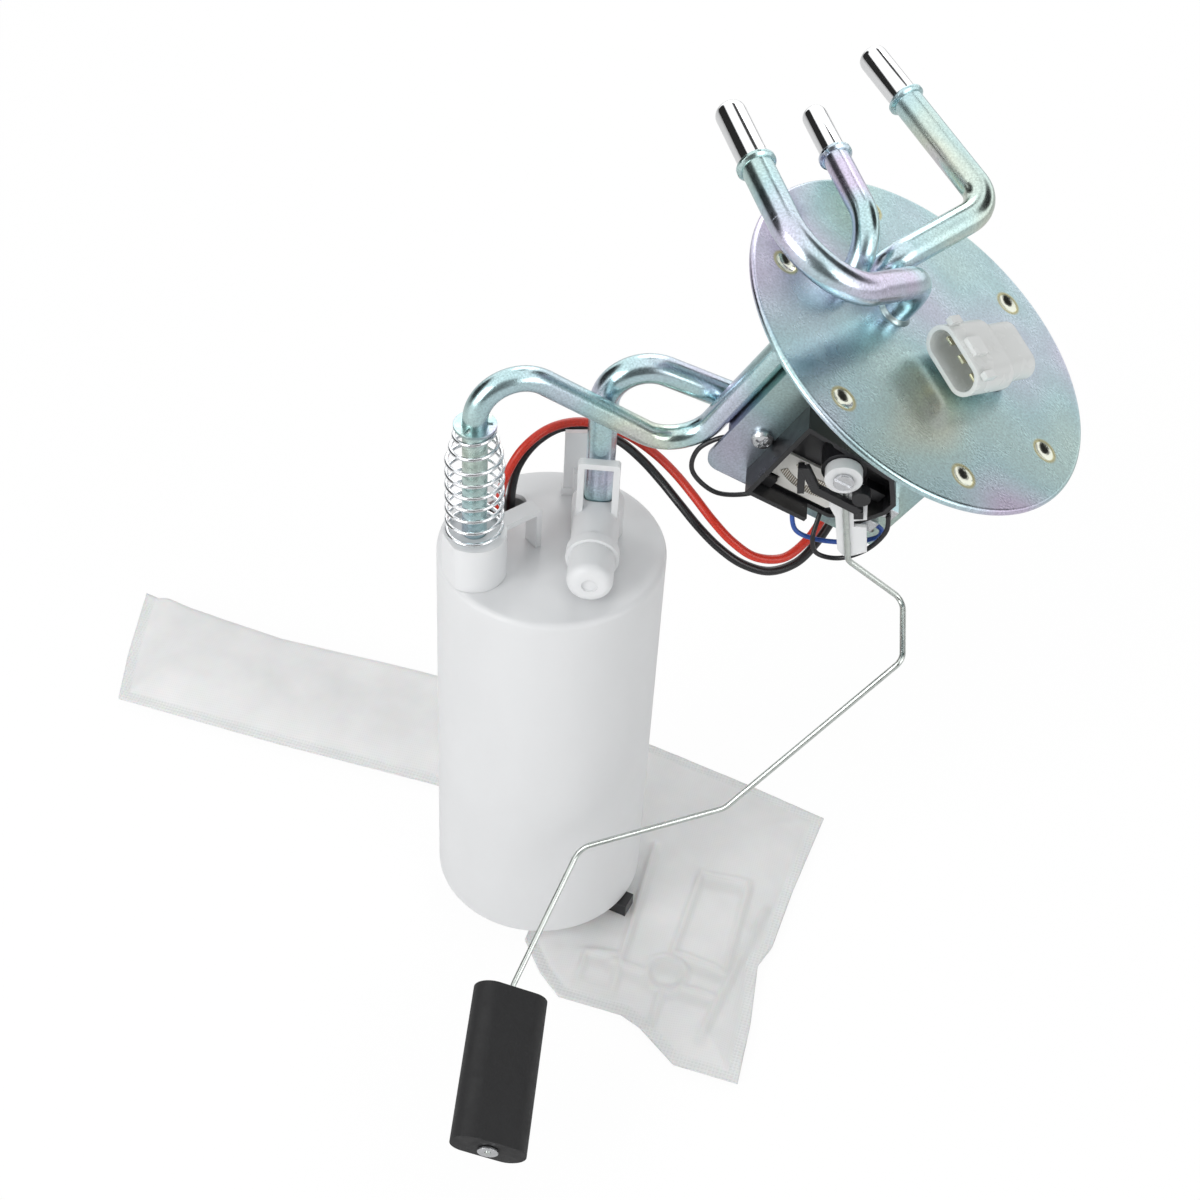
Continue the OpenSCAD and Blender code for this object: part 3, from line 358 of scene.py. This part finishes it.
NODE_FINISH = {
    "flange_plate": "zinc_plate", "bracket_plate": "zinc_bracket",
    "feed_tube": "feed_tube", "return_tube": "return_tube", "vapour_tube": "vapour_tube",
    "braze_rings": "braze", "connector_shell": "clear_nylon",
    "connector_terminals": "tinned_brass", "connector_seal": "seal_rubber",
    "sender_frame": "black_plastic", "resistor_card": "ceramic",
    "resistor_track": "silver_ink", "sender_screws": "steel", "sender_rivet": "steel",
    "sender_terminals": "steel", "pivot_pin": "steel", "spring_retainer": "retainer_zinc",
    "reservoir_shell": "white_plastic", "reservoir_base": "white_plastic",
    "guide_boss": "white_plastic", "outlet_fitting": "white_plastic",
    "fitting_cap": "white_plastic", "upright_tab": "white_plastic",
    "pump_case": "pump_steel", "pump_end_top": "cream_plastic",
    "pump_end_bottom": "cream_plastic", "pump_isolator": "seal_rubber",
    "inner_hose": "seal_rubber", "hose_clamps": "steel", "strainer_neck": "black_plastic",
    "strainer_frame": "cream_plastic", "wiper_carrier": "white_plastic",
    "wiper_contact": "black_plastic", "float_wire": "arm_wire", "float_body": "float_foam",
    "push_nut": "steel", "sender_wire_blue": "blue_wire", "sender_wire_left": "black_wire",
    "sender_wire_right": "black_wire", "pump_wire_red": "red_wire",
    "pump_wire_black": "black_wire", "spring": "spring_steel",
    "strainer_strip": "filter_cloth", "strainer_pad": "filter_cloth",
}


def finish_nodes():
    for name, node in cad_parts.items():
        node.data.materials.clear()
        node.data.materials.append(finishes[NODE_FINISH[name]])


# Mesh making
def place(name, mesh, finish):
    """An object of the mesh in the scene, with one finish."""
    mesh.materials.append(finishes[finish])
    piece = bpy.data.objects.new(name, mesh)
    bpy.context.scene.collection.objects.link(piece)
    return piece


def make(name, verts, faces, finish, smooth=True):
    """A mesh piece from points in millimetres."""
    mesh = bpy.data.meshes.new(name)
    mesh.from_pydata([Vector(v) * MM for v in verts], [], faces)
    if smooth:
        mesh.polygons.foreach_set("use_smooth", [True] * len(faces))
    return place(name, mesh, finish)


def from_bmesh(name, bm, finish):
    mesh = bpy.data.meshes.new(name)
    bm.to_mesh(mesh)
    bm.free()
    return place(name, mesh, finish)


def catmull(points, steps):
    """The smooth curve through the points that the source draws, with steps per stretch."""
    out = []
    last = len(points) - 1
    for i in range(last):
        a, b, c, d = (points[max(i - 1, 0)], points[i], points[i + 1],
                      points[min(i + 2, last)])
        for k in range(steps):
            s = k / steps
            out.append(0.5 * (2 * b + (c - a) * s + (2 * a - 5 * b + 4 * c - d) * s * s
                              + (3 * b - 3 * c + d - a) * s ** 3))
    return out + [points[last]]


def tube(name, path, radius, finish, sides=16):
    """A round tube along close points, its rings carried along without twist."""
    last = len(path) - 1
    ways = [(path[min(i + 1, last)] - path[max(i - 1, 0)]).normalized()
            for i in range(last + 1)]
    side = ways[0].orthogonal().normalized()
    verts, faces = [], []
    for point, way in zip(path, ways):
        side = (side - way * side.dot(way)).normalized()
        across = way.cross(side)
        for k in range(sides):
            turn = 2 * math.pi * k / sides
            verts.append(point + radius * (math.cos(turn) * side + math.sin(turn) * across))
    for i in range(last):
        for k in range(sides):
            n = (k + 1) % sides
            faces.append((i * sides + k, i * sides + n, (i + 1) * sides + n,
                          (i + 1) * sides + k))
    faces.append(tuple(range(sides - 1, -1, -1)))
    faces.append(tuple(last * sides + k for k in range(sides)))
    return make(name, verts, faces, finish)


# Tube ends, rolled in to a round lip as formed fuel tubes are: end, a point further in on
# the tube's line, and radius
TIPS = {"feed_tube": (FEED_TIP, from_flange(-40.9, -46.1, 25.3), 4.6),
        "return_tube": (RETURN_TIP, from_flange(-29, -2, 21), 3.85),
        "vapour_tube": (VAPOUR_TIP, from_flange(-3.8, 40.4, 27.2), 4.6)}
LIP_LONG = 2.6
LIP_IN = 1.9
LIP_CUTS = (0.15, 0.4, 0.75, 1.2, 1.8, LIP_LONG)
WELD_APART = 1e-6
SHARP_ANGLE = 0.6


def roll_lip(bm, tip, way, radius):
    """Cut rings near the tip and draw their points inward along a quarter round."""
    for back in LIP_CUTS:
        bmesh.ops.bisect_plane(bm, geom=bm.verts[:] + bm.edges[:] + bm.faces[:],
                               plane_co=(tip - way * back) * MM, plane_no=way)
    for vert in bm.verts:
        off = vert.co / MM - tip
        back = -off.dot(way)
        side = off + way * back
        if back > LIP_LONG or side.length > radius + 1:
            continue
        t = 1 - max(back, 0) / LIP_LONG
        vert.co -= side.normalized() * LIP_IN * (1 - math.sqrt(max(0, 1 - t * t))) * MM


def roll_tips():
    for name, (tip, inner, radius) in TIPS.items():
        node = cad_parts[name]
        bm = bmesh.new()
        bm.from_mesh(node.data)
        bm.transform(node.matrix_world)
        bmesh.ops.remove_doubles(bm, verts=bm.verts, dist=WELD_APART)
        roll_lip(bm, tip, (tip - inner).normalized(), radius)
        for edge in bm.edges:
            edge.smooth = len(edge.link_faces) != 2 or edge.calc_face_angle() < SHARP_ANGLE
        for face in bm.faces:
            face.smooth = True
        piece = from_bmesh(name + "_rolled", bm, NODE_FINISH[name])
        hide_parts(name)
        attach(piece, "hanger")


# Coil spring: straight up the guide boss, narrowing to the retainer, closed at both ends
BOSS_TOP = -97.2 + 17.5
RETAINER_Z = -36.6
SPRING_WIRE = 1.3
SPRING_TURNS = 9.5
TURN_STEPS = 36
SPRING_WIDE = 19.0
SPRING_NARROWS = 6.6
NARROWS_FROM = 0.7
NARROWS_POWER = 0.8
CLOSED_SHARE = 0.07
CLOSED_PITCH = 0.35
CLOSED_RISE = CLOSED_SHARE * CLOSED_PITCH
FIRST_TURN = 40


def spring_width(share):
    if share < NARROWS_FROM:
        return SPRING_WIDE
    return SPRING_WIDE - SPRING_NARROWS * (
        (share - NARROWS_FROM) / (1 - NARROWS_FROM)) ** NARROWS_POWER


def spring_rise(share):
    if share < CLOSED_SHARE:
        return share * CLOSED_PITCH
    if share > 1 - CLOSED_SHARE:
        return 1 - (1 - share) * CLOSED_PITCH
    return CLOSED_RISE + (share - CLOSED_SHARE) * (1 - 2 * CLOSED_RISE) / (
        1 - 2 * CLOSED_SHARE)


def spring_path():
    low = BOSS_TOP + SPRING_WIRE * 0.5
    high = RETAINER_Z - SPRING_WIRE * 0.5
    path = []
    steps = int(SPRING_TURNS * TURN_STEPS)
    for i in range(steps + 1):
        share = i / steps
        turn = math.radians(i * 360 / TURN_STEPS + FIRST_TURN)
        r = spring_width(share) / 2 - SPRING_WIRE / 2
        path.append(Vector((GUIDE_AXIS[0] + r * math.cos(turn),
                            GUIDE_AXIS[1] + r * math.sin(turn),
                            low + (high - low) * spring_rise(share))))
    return path


def wind_spring():
    coil = tube("spring_wound", spring_path(), SPRING_WIRE / 2, "spring_steel", 12)
    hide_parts("spring")
    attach(coil, "reservoir")
    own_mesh(coil)


# Wires, from where they leave the object
PIN_OUT = 3.2
PIN_LOW = -9.25
PUMP_CABLE = 3.0
SENDER_LEAD = 1.6
CURVE_STEPS = 8


def pin_end(side):
    """Where a pump cable leaves the plug: side is -1 at the red one's pin, 1 at the black's."""
    return from_flange(PLUG_FOOT[0] + side * PIN_OUT * math.cos(BRACKET_TURN),
                       PLUG_FOOT[1] + side * PIN_OUT * math.sin(BRACKET_TURN), PIN_LOW)


RED_RUN = [(7.4, 7.9, -25.6), (4.6, 13, -33.7), (1.1, 16.9, -42.1), (-3.5, 18.1, -50.8),
           (-8.3, 18.1, -59.4), (-13, 17.8, -68.2), (-17.2, 16.8, -77.1),
           (-20.7, 13.7, -85.8), (-24.3, 8.2, -93.2), (-30.2, 1.7, -97.5),
           (-38.7, -2.8, -96.1), (-46.8, -4.2, -90.7), (-54.5, -3.1, -84.5),
           (-62.2, 0.8, -79.8), (-70.2, 5.9, -76.7), (-78.7, 9.9, -73.8), (-88, 12, -70.9),
           (-97.5, 11.5, -68.3), (-106.4, 7.6, -66.7), (-113.6, 0.9, -67),
           (-119.2, -5.9, -71.3), (-123, -9.4, -79.7), (-125.2, -9.8, -89.3),
           (-126, -9.3, -99.2), (-126.1, -9, -109.1), (-126, -9, -119)]
BLACK_RUN = [(12.7, 9.4, -28.6), (9.1, 14.4, -36.4), (5.1, 18.1, -44.5), (0.4, 19.2, -53.1),
             (-4.5, 19.1, -61.6), (-9.4, 18.8, -70.2), (-13.8, 18, -78.9),
             (-17.7, 15.8, -87.7), (-21.3, 11.4, -95.7), (-26.3, 5.6, -101.8),
             (-34.1, 0.2, -103.6), (-43, -2.7, -100.6), (-51.2, -3.6, -95.2),
             (-59, -2.6, -89.3), (-66.7, 0.4, -84.1), (-74.6, 4.6, -80), (-82.8, 9, -76.8),
             (-91.7, 12.3, -74.1), (-101.3, 12.4, -72.1), (-110.3, 9, -71.1),
             (-116.7, 1.4, -73.1), (-121, -4, -80), (-122.7, -5.6, -89.5),
             (-123.1, -5.4, -99.3), (-123.1, -5.1, -109.1), (-123, -5, -119)]
BLUE_RUN = [(36.4, 7.6, -74.5), (38.5, 8.8, -79), (44, 10.4, -84.5), (52, 11.2, -83),
            (60, 11.8, -77.5), (65.4, 11.8, -71), (65.2, 11.6, -67), (62.1, 11, -66.2)]
LEFT_RUN = [(9, 3.6, -66), (4.6, 3, -69.5), (1.2, 4, -77.5), (4.2, 6, -85), (14, 8, -87),
            (22.5, 8, -82), (26.5, 7.8, -74.5)]
RIGHT_RUN = [(61.5, 13.4, -58.4), (64.5, 14.8, -64), (64.5, 15, -74), (60.5, 14.6, -83),
             (53.5, 14.2, -86), (48.5, 13.4, -81.5), (46.5, 8.2, -74.7)]

RED = [pin_end(-1)] + [Vector(p) for p in RED_RUN]
BLACK = [pin_end(1)] + [Vector(p) for p in BLACK_RUN]
BLUE, LEFT, RIGHT = ([from_bracket(*p) for p in run]
                     for run in (BLUE_RUN, LEFT_RUN, RIGHT_RUN))

WIRES = [("pump_cable_red", RED, PUMP_CABLE, "red_wire", "pump_wire_red"),
         ("pump_cable_black", BLACK, PUMP_CABLE, "black_wire", "pump_wire_black"),
         ("sender_lead_blue", BLUE, SENDER_LEAD, "blue_wire", "sender_wire_blue"),
         ("sender_lead_left", LEFT, SENDER_LEAD, "black_wire", "sender_wire_left"),
         ("sender_lead_right", RIGHT, SENDER_LEAD, "black_wire", "sender_wire_right")]


def run_wires():
    for name, points, width, finish, node in WIRES:
        path = catmull(points, CURVE_STEPS)
        lead = tube(name, path, width / 2, finish)
        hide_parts(node)
        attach(lead, "hanger")
        if width == PUMP_CABLE:
            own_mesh(lead)


# Filter socks
SEAM_Z = -269.6
SEAM_W = 4.2
SEAM_HALF = 0.3
WELD_TO_FULL = 17
FILL_POWER = 0.8
FOLD_ROUND = 5
BELLY = 1.5
STRIP_LOFT = 6.4
PAD_LOFT = 5.0
RIDGE_HALF = 1.5
CREASES = [(19, 13, 3.0, 0.55), (6.5, 6.5, 9.0, 0.16)]
CREASE_ROOM = 0.55
RIPPLE = (8, 8, 1.0, 0.25)
FAR_OFF = 1e9


def evenly(points, count):
    """Points evenly spaced along a chain of corners."""
    points = np.array(points, float)
    reach = np.r_[0, np.cumsum(np.hypot(*np.diff(points, axis=0).T))]
    at = np.linspace(0, reach[-1], count + 1)
    return np.stack([np.interp(at, reach, points[:, k]) for k in (0, 1)], 1)


def off_line(p, chain):
    """Distance of each point of a grid from a chain of corners."""
    best = np.full(p.shape[:2], FAR_OFF)
    for a, b in zip(chain, chain[1:]):
        a, along = np.array(a), np.array(b) - np.array(a)
        share = np.clip((p - a) @ along / (along @ along), 0, 1)
        best = np.minimum(best, np.linalg.norm(p - a - share[..., None] * along, axis=2))
    return best


def fill_inward(inward):
    """How full a sock stands at a distance from its weld: 0 in the seam, 1 well inside."""
    return np.sin(np.clip((inward - SEAM_W) / WELD_TO_FULL, 0, 1) * math.pi / 2) ** FILL_POWER


def patch(sides, nu, nv):
    """A grid of points between four edges."""
    near, far = evenly(sides["near"], nu), evenly(sides["far"], nu)
    left, right = evenly(sides["left"], nv), evenly(sides["right"], nv)
    u = np.linspace(0, 1, nu + 1)[:, None, None]
    v = np.linspace(0, 1, nv + 1)[None, :, None]
    return (near[:, None] * (1 - v) + far[:, None] * v
            + left[None] * (1 - u) + right[None] * u
            - near[0] * (1 - u) * (1 - v) - near[-1] * u * (1 - v)
            - far[0] * (1 - u) * v - far[-1] * u * v)


def wrinkle(x, y, long, wide, layer, height):
    """A fold's height at a point: its length, width and height, and which noise layer."""
    return noise.noise(Vector((x / long, y / wide, layer))) * height


def bag_faces(nu, nv):
    """Upper sheet, lower sheet and the narrow band that joins them at the rim."""
    faces = []
    count = (nu + 1) * (nv + 1)

    def at(i, j):
        return i * (nv + 1) + j

    for i in range(nu):
        for j in range(nv):
            quad = (at(i, j), at(i + 1, j), at(i + 1, j + 1), at(i, j + 1))
            faces.append(quad)
            faces.append(tuple(count + k for k in reversed(quad)))
    rim = ([(i, 0) for i in range(nu)] + [(nu, j) for j in range(nv)]
           + [(i, nv) for i in range(nu, 0, -1)] + [(0, j) for j in range(nv, 0, -1)])
    for one, two in zip(rim, rim[1:] + rim[:1]):
        a, b = at(*one), at(*two)
        faces.append((a, a + count, b + count, b))
    return faces


def sock(name, node, finish, sides, folded, counts, ribs, loft):
    """A closed bag: grid between four edges, welded flat where it isn't folded, full within."""
    nu, nv = counts
    p = patch(sides, nu, nv)
    none = p[..., 0] * 0
    from_weld = np.min([off_line(p, sides[k]) for k in sides if k not in folded], axis=0)
    from_fold = np.min([off_line(p, sides[k]) for k in folded] or [none + FAR_OFF], axis=0)
    fill = np.minimum(fill_inward(from_weld),
                      np.sqrt(1 - (1 - np.minimum(1, from_fold / FOLD_ROUND)) ** 2))
    ridge = np.max([np.exp(-(off_line(p, rib) / RIDGE_HALF) ** 2) for rib in ribs] or [none],
                   axis=0)
    verts, seams = [], []
    for top in (True, False):
        for i in range(nu + 1):
            for j in range(nv + 1):
                x, y = p[i, j]
                full = fill[i, j]
                if top:
                    crease = sum(wrinkle(x, y, *fold) for fold in CREASES)
                    rise = loft - CREASE_ROOM + crease + ridge[i, j]
                    z = SEAM_Z + SEAM_HALF + rise * full
                    z += wrinkle(x, y, *RIPPLE) * (1 - full)
                else:
                    z = SEAM_Z - SEAM_HALF - BELLY * full
                verts.append(Vector((x, y, z)))
                seams.append(float(from_weld[i, j] < SEAM_W and from_fold[i, j] > SEAM_W))
    bag = make(name, verts, bag_faces(nu, nv), finish)
    band = bag.data.attributes.new("seam", "FLOAT", "POINT")
    band.data.foreach_set("value", seams)
    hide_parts(node)
    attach(bag, "reservoir")


STRIP = {"far": [(-313, 67), (-289, 63), (-245, 59.5), (-209, 61), (-176, 62), (-98, 61)],
         "near": [(-296, 7), (-224, 6.5), (-157, 8), (-98, 6)],
         "left": [(-296, 7), (-304, 32), (-313, 67)], "right": [(-98, 6), (-98, 61)]}
PAD = {"far": [(-98, 58.4), (-82, 58), (-40, 51), (-5, 44)],
       "near": [(-98, -52), (-88, -64), (-78, -72), (-54, -72), (-46, -75), (-30, -86),
                (-6, -86)],
       "left": [(-98, -52), (-98, 58.4)],
       "right": [(-6, -86), (-8, -60), (-12, -34), (-9, -24), (-8, 4), (-5, 44)]}
RING_C = (-42.7, -52.0)
RING_IN = 4.6
RING_OUT = 7.4
RIBS = [[(-64, 4), (-60, -64)], [(-43.4, -2), (-43.4, -44)],
        [(-43.4, -3), (-24.6, -1), (-22.7, -43.5), (-42, -42)], [(-15.8, -8), (-24, -72)],
        [(-63, -53), (-50, -54)], [(-35, -56), (-24, -56)], [(-42.6, -59), (-42.6, -71)],
        [(-74, -52.5), (-63, -50.5)], [(-74, -52.5), (-73.6, -64), (-61, -64.5)]]
RIB_HALF = 0.9
RIB_FOOT_HALF = 2.2
RIB_FOOT_SHARE = 0.25
RING_WALL_HALF = 0.8
RIB_CUT = 4
RIB_SINK = 0.2
RIB_DROP = 1.0
RIB_LEAST = 0.3
RIB_GROWS = 4.5


def rib_room(spot):
    """How full the wide sock stands over a point."""
    grid = np.array([[tuple(spot)]])
    return float(fill_inward(min(off_line(grid, side)[0, 0] for side in PAD.values())))


def rib_wall(bm, chain, half, share=1.0):
    """A thin upright wall along a chain of corners, as high as the cloth leaves room for."""
    for a, b in zip(chain, chain[1:]):
        a, b = Vector(a), Vector(b)
        way = (b - a).normalized()
        side = Vector((-way.y, way.x)) * half
        a, b = a - way * half, b + way * half
        cuts = max(1, round((b - a).length / RIB_CUT))
        rings = []
        for k in range(cuts + 1):
            spot = a.lerp(b, k / cuts)
            room = rib_room(spot)
            low = SEAM_Z - RIB_SINK - RIB_DROP * room
            high = low + (RIB_LEAST + RIB_GROWS * room) * share
            rings.append([bm.verts.new(Vector((*corner, z)) * MM)
                          for corner, z in ((spot + side, low), (spot - side, low),
                                            (spot - side, high), (spot + side, high))])
        bm.faces.new(rings[0])
        bm.faces.new(rings[-1][::-1])
        for one, two in zip(rings, rings[1:]):
            for k in range(4):
                n = (k + 1) % 4
                bm.faces.new((one[k], one[n], two[n], two[k]))


def sock_lattice():
    """The moulded ribs that hold the wide sock open, seen faintly through its cloth."""
    bm = bmesh.new()
    for chain in RIBS:
        rib_wall(bm, chain, RIB_HALF)
        rib_wall(bm, chain, RIB_FOOT_HALF, RIB_FOOT_SHARE)
    for radius in (RING_IN, RING_OUT):
        rib_wall(bm, ring_about(RING_C, radius, 15), RING_WALL_HALF)
    bmesh.ops.recalc_face_normals(bm, faces=bm.faces)
    lattice = from_bmesh("strainer_lattice", bm, "cream_plastic")
    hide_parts("strainer_frame")
    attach(lattice, "reservoir")


def fill_socks():
    sock("strainer_strip_cloth", "strainer_strip", "filter_cloth", STRIP, ("far",), (150, 44),
         [], STRIP_LOFT)
    sock("strainer_pad_cloth", "strainer_pad", "sheer_cloth", PAD, (), (110, 140),
         RIBS + [ring_about(RING_C, RING_OUT, 30)], PAD_LOFT)
    sock_lattice()


# Studio. Dark cards stand round the set for the mirror-like metal: way, outer and inner
# half angles in degrees, and what is left of the light there.
CARDS = [((-0.98, 0.05, 0.20), 32, 27, 0.02), ((-0.04, 0.58, 0.81), 10, 7, 0.05),
         ((0.26, -0.92, 0.30), 45, 22, 0.10), ((0.66, 0.47, 0.58), 27, 18.5, 0.02)]
MIRRORED_SKY = 1.26
MATT_SKY = 0.50
SEEN_SKY = 1.0
FLOOR_HALF = 4000
FLOOR_COLOR = (0.86, 0.86, 0.86, 1)
FLOOR_GLOW = 1.02
FLOOR_WHITE_SHARE = 0.93
# Name, place, power and width
LAMPS = [("key", (-0.9, -1.3, 0.6), 12.5, 0.9), ("fill", (1.1, -0.7, 0.45), 4.5, 0.8),
         ("rim", (-0.3, 1.1, 0.7), 4, 0.7)]
LAMP_AIM = (-0.1, 0, -0.12)


def lay_floor():
    """A pale floor, white to the camera but for the shadows that fall on it."""
    half = FLOOR_HALF
    floor = make("floor", [(-half, -half, FLOOR_Z), (half, -half, FLOOR_Z),
                           (half, half, FLOOR_Z), (-half, half, FLOOR_Z)],
                 [(0, 1, 2, 3)], "white_plastic", smooth=False)
    mat = bpy.data.materials.new("floor_white")
    mat.use_nodes = True
    tree = mat.node_tree
    tree.nodes.clear()
    path = grow(tree, "ShaderNodeLightPath")
    seen = grow(tree, "ShaderNodeMath", [(0, path.outputs["Is Camera Ray"]),
                                         (1, FLOOR_WHITE_SHARE)], operation="MULTIPLY")
    matt = grow(tree, "ShaderNodeBsdfDiffuse", [("Color", FLOOR_COLOR)])
    white = grow(tree, "ShaderNodeEmission", [("Strength", FLOOR_GLOW)])
    both = grow(tree, "ShaderNodeMixShader", [(0, seen.outputs[0]), (1, matt.outputs[0]),
                                              (2, white.outputs[0])])
    grow(tree, "ShaderNodeOutputMaterial", [("Surface", both.outputs[0])])
    floor.data.materials[0] = mat


def light_sky(scene):
    """White to the camera, dimmer to matt surfaces, and with dark cards to mirrors."""
    world = bpy.data.worlds.new("studio")
    scene.world = world
    world.use_nodes = True
    tree = world.node_tree
    way = grow(tree, "ShaderNodeTexCoord").outputs["Generated"]
    glow = MIRRORED_SKY
    for aim, outer, inner, left in CARDS:
        toward = grow(tree, "ShaderNodeVectorMath", [(0, way), (1, Vector(aim).normalized())],
                      operation="DOT_PRODUCT")
        dark = grow(tree, "ShaderNodeMapRange",
                    [("Value", toward.outputs["Value"]),
                     ("From Min", math.cos(math.radians(outer))),
                     ("From Max", math.cos(math.radians(inner))),
                     ("To Min", 1.0), ("To Max", left)], interpolation_type="SMOOTHSTEP")
        glow = grow(tree, "ShaderNodeMath", [(0, dark.outputs["Result"]), (1, glow)],
                    operation="MULTIPLY").outputs[0]
    path = grow(tree, "ShaderNodeLightPath")
    shiny = grow(tree, "ShaderNodeMix", [(0, path.outputs["Is Glossy Ray"]), (2, MATT_SKY),
                                         (3, glow)])
    level = grow(tree, "ShaderNodeMix", [(0, path.outputs["Is Camera Ray"]),
                                         (2, shiny.outputs[0]), (3, SEEN_SKY)])
    sky = tree.nodes["Background"]
    feed(tree, sky.inputs["Strength"], level.outputs[0])
    sky.inputs["Color"].default_value = (1, 1, 1, 1)


def hang_lamps(scene):
    for name, spot, power, wide in LAMPS:
        data = bpy.data.lights.new(name, "AREA")
        data.energy = power
        data.size = wide
        lamp = bpy.data.objects.new(name, data)
        lamp.location = spot
        aim = Vector(LAMP_AIM) - Vector(spot)
        lamp.rotation_mode = "QUATERNION"
        lamp.rotation_quaternion = aim.to_track_quat("-Z", "Y")
        scene.collection.objects.link(lamp)


def studio():
    scene = bpy.context.scene
    scene.view_settings.view_transform = "Standard"
    lay_floor()
    light_sky(scene)
    hang_lamps(scene)


set_camera()
finish_nodes()
roll_tips()
wind_spring()
run_wires()
fill_socks()
studio()
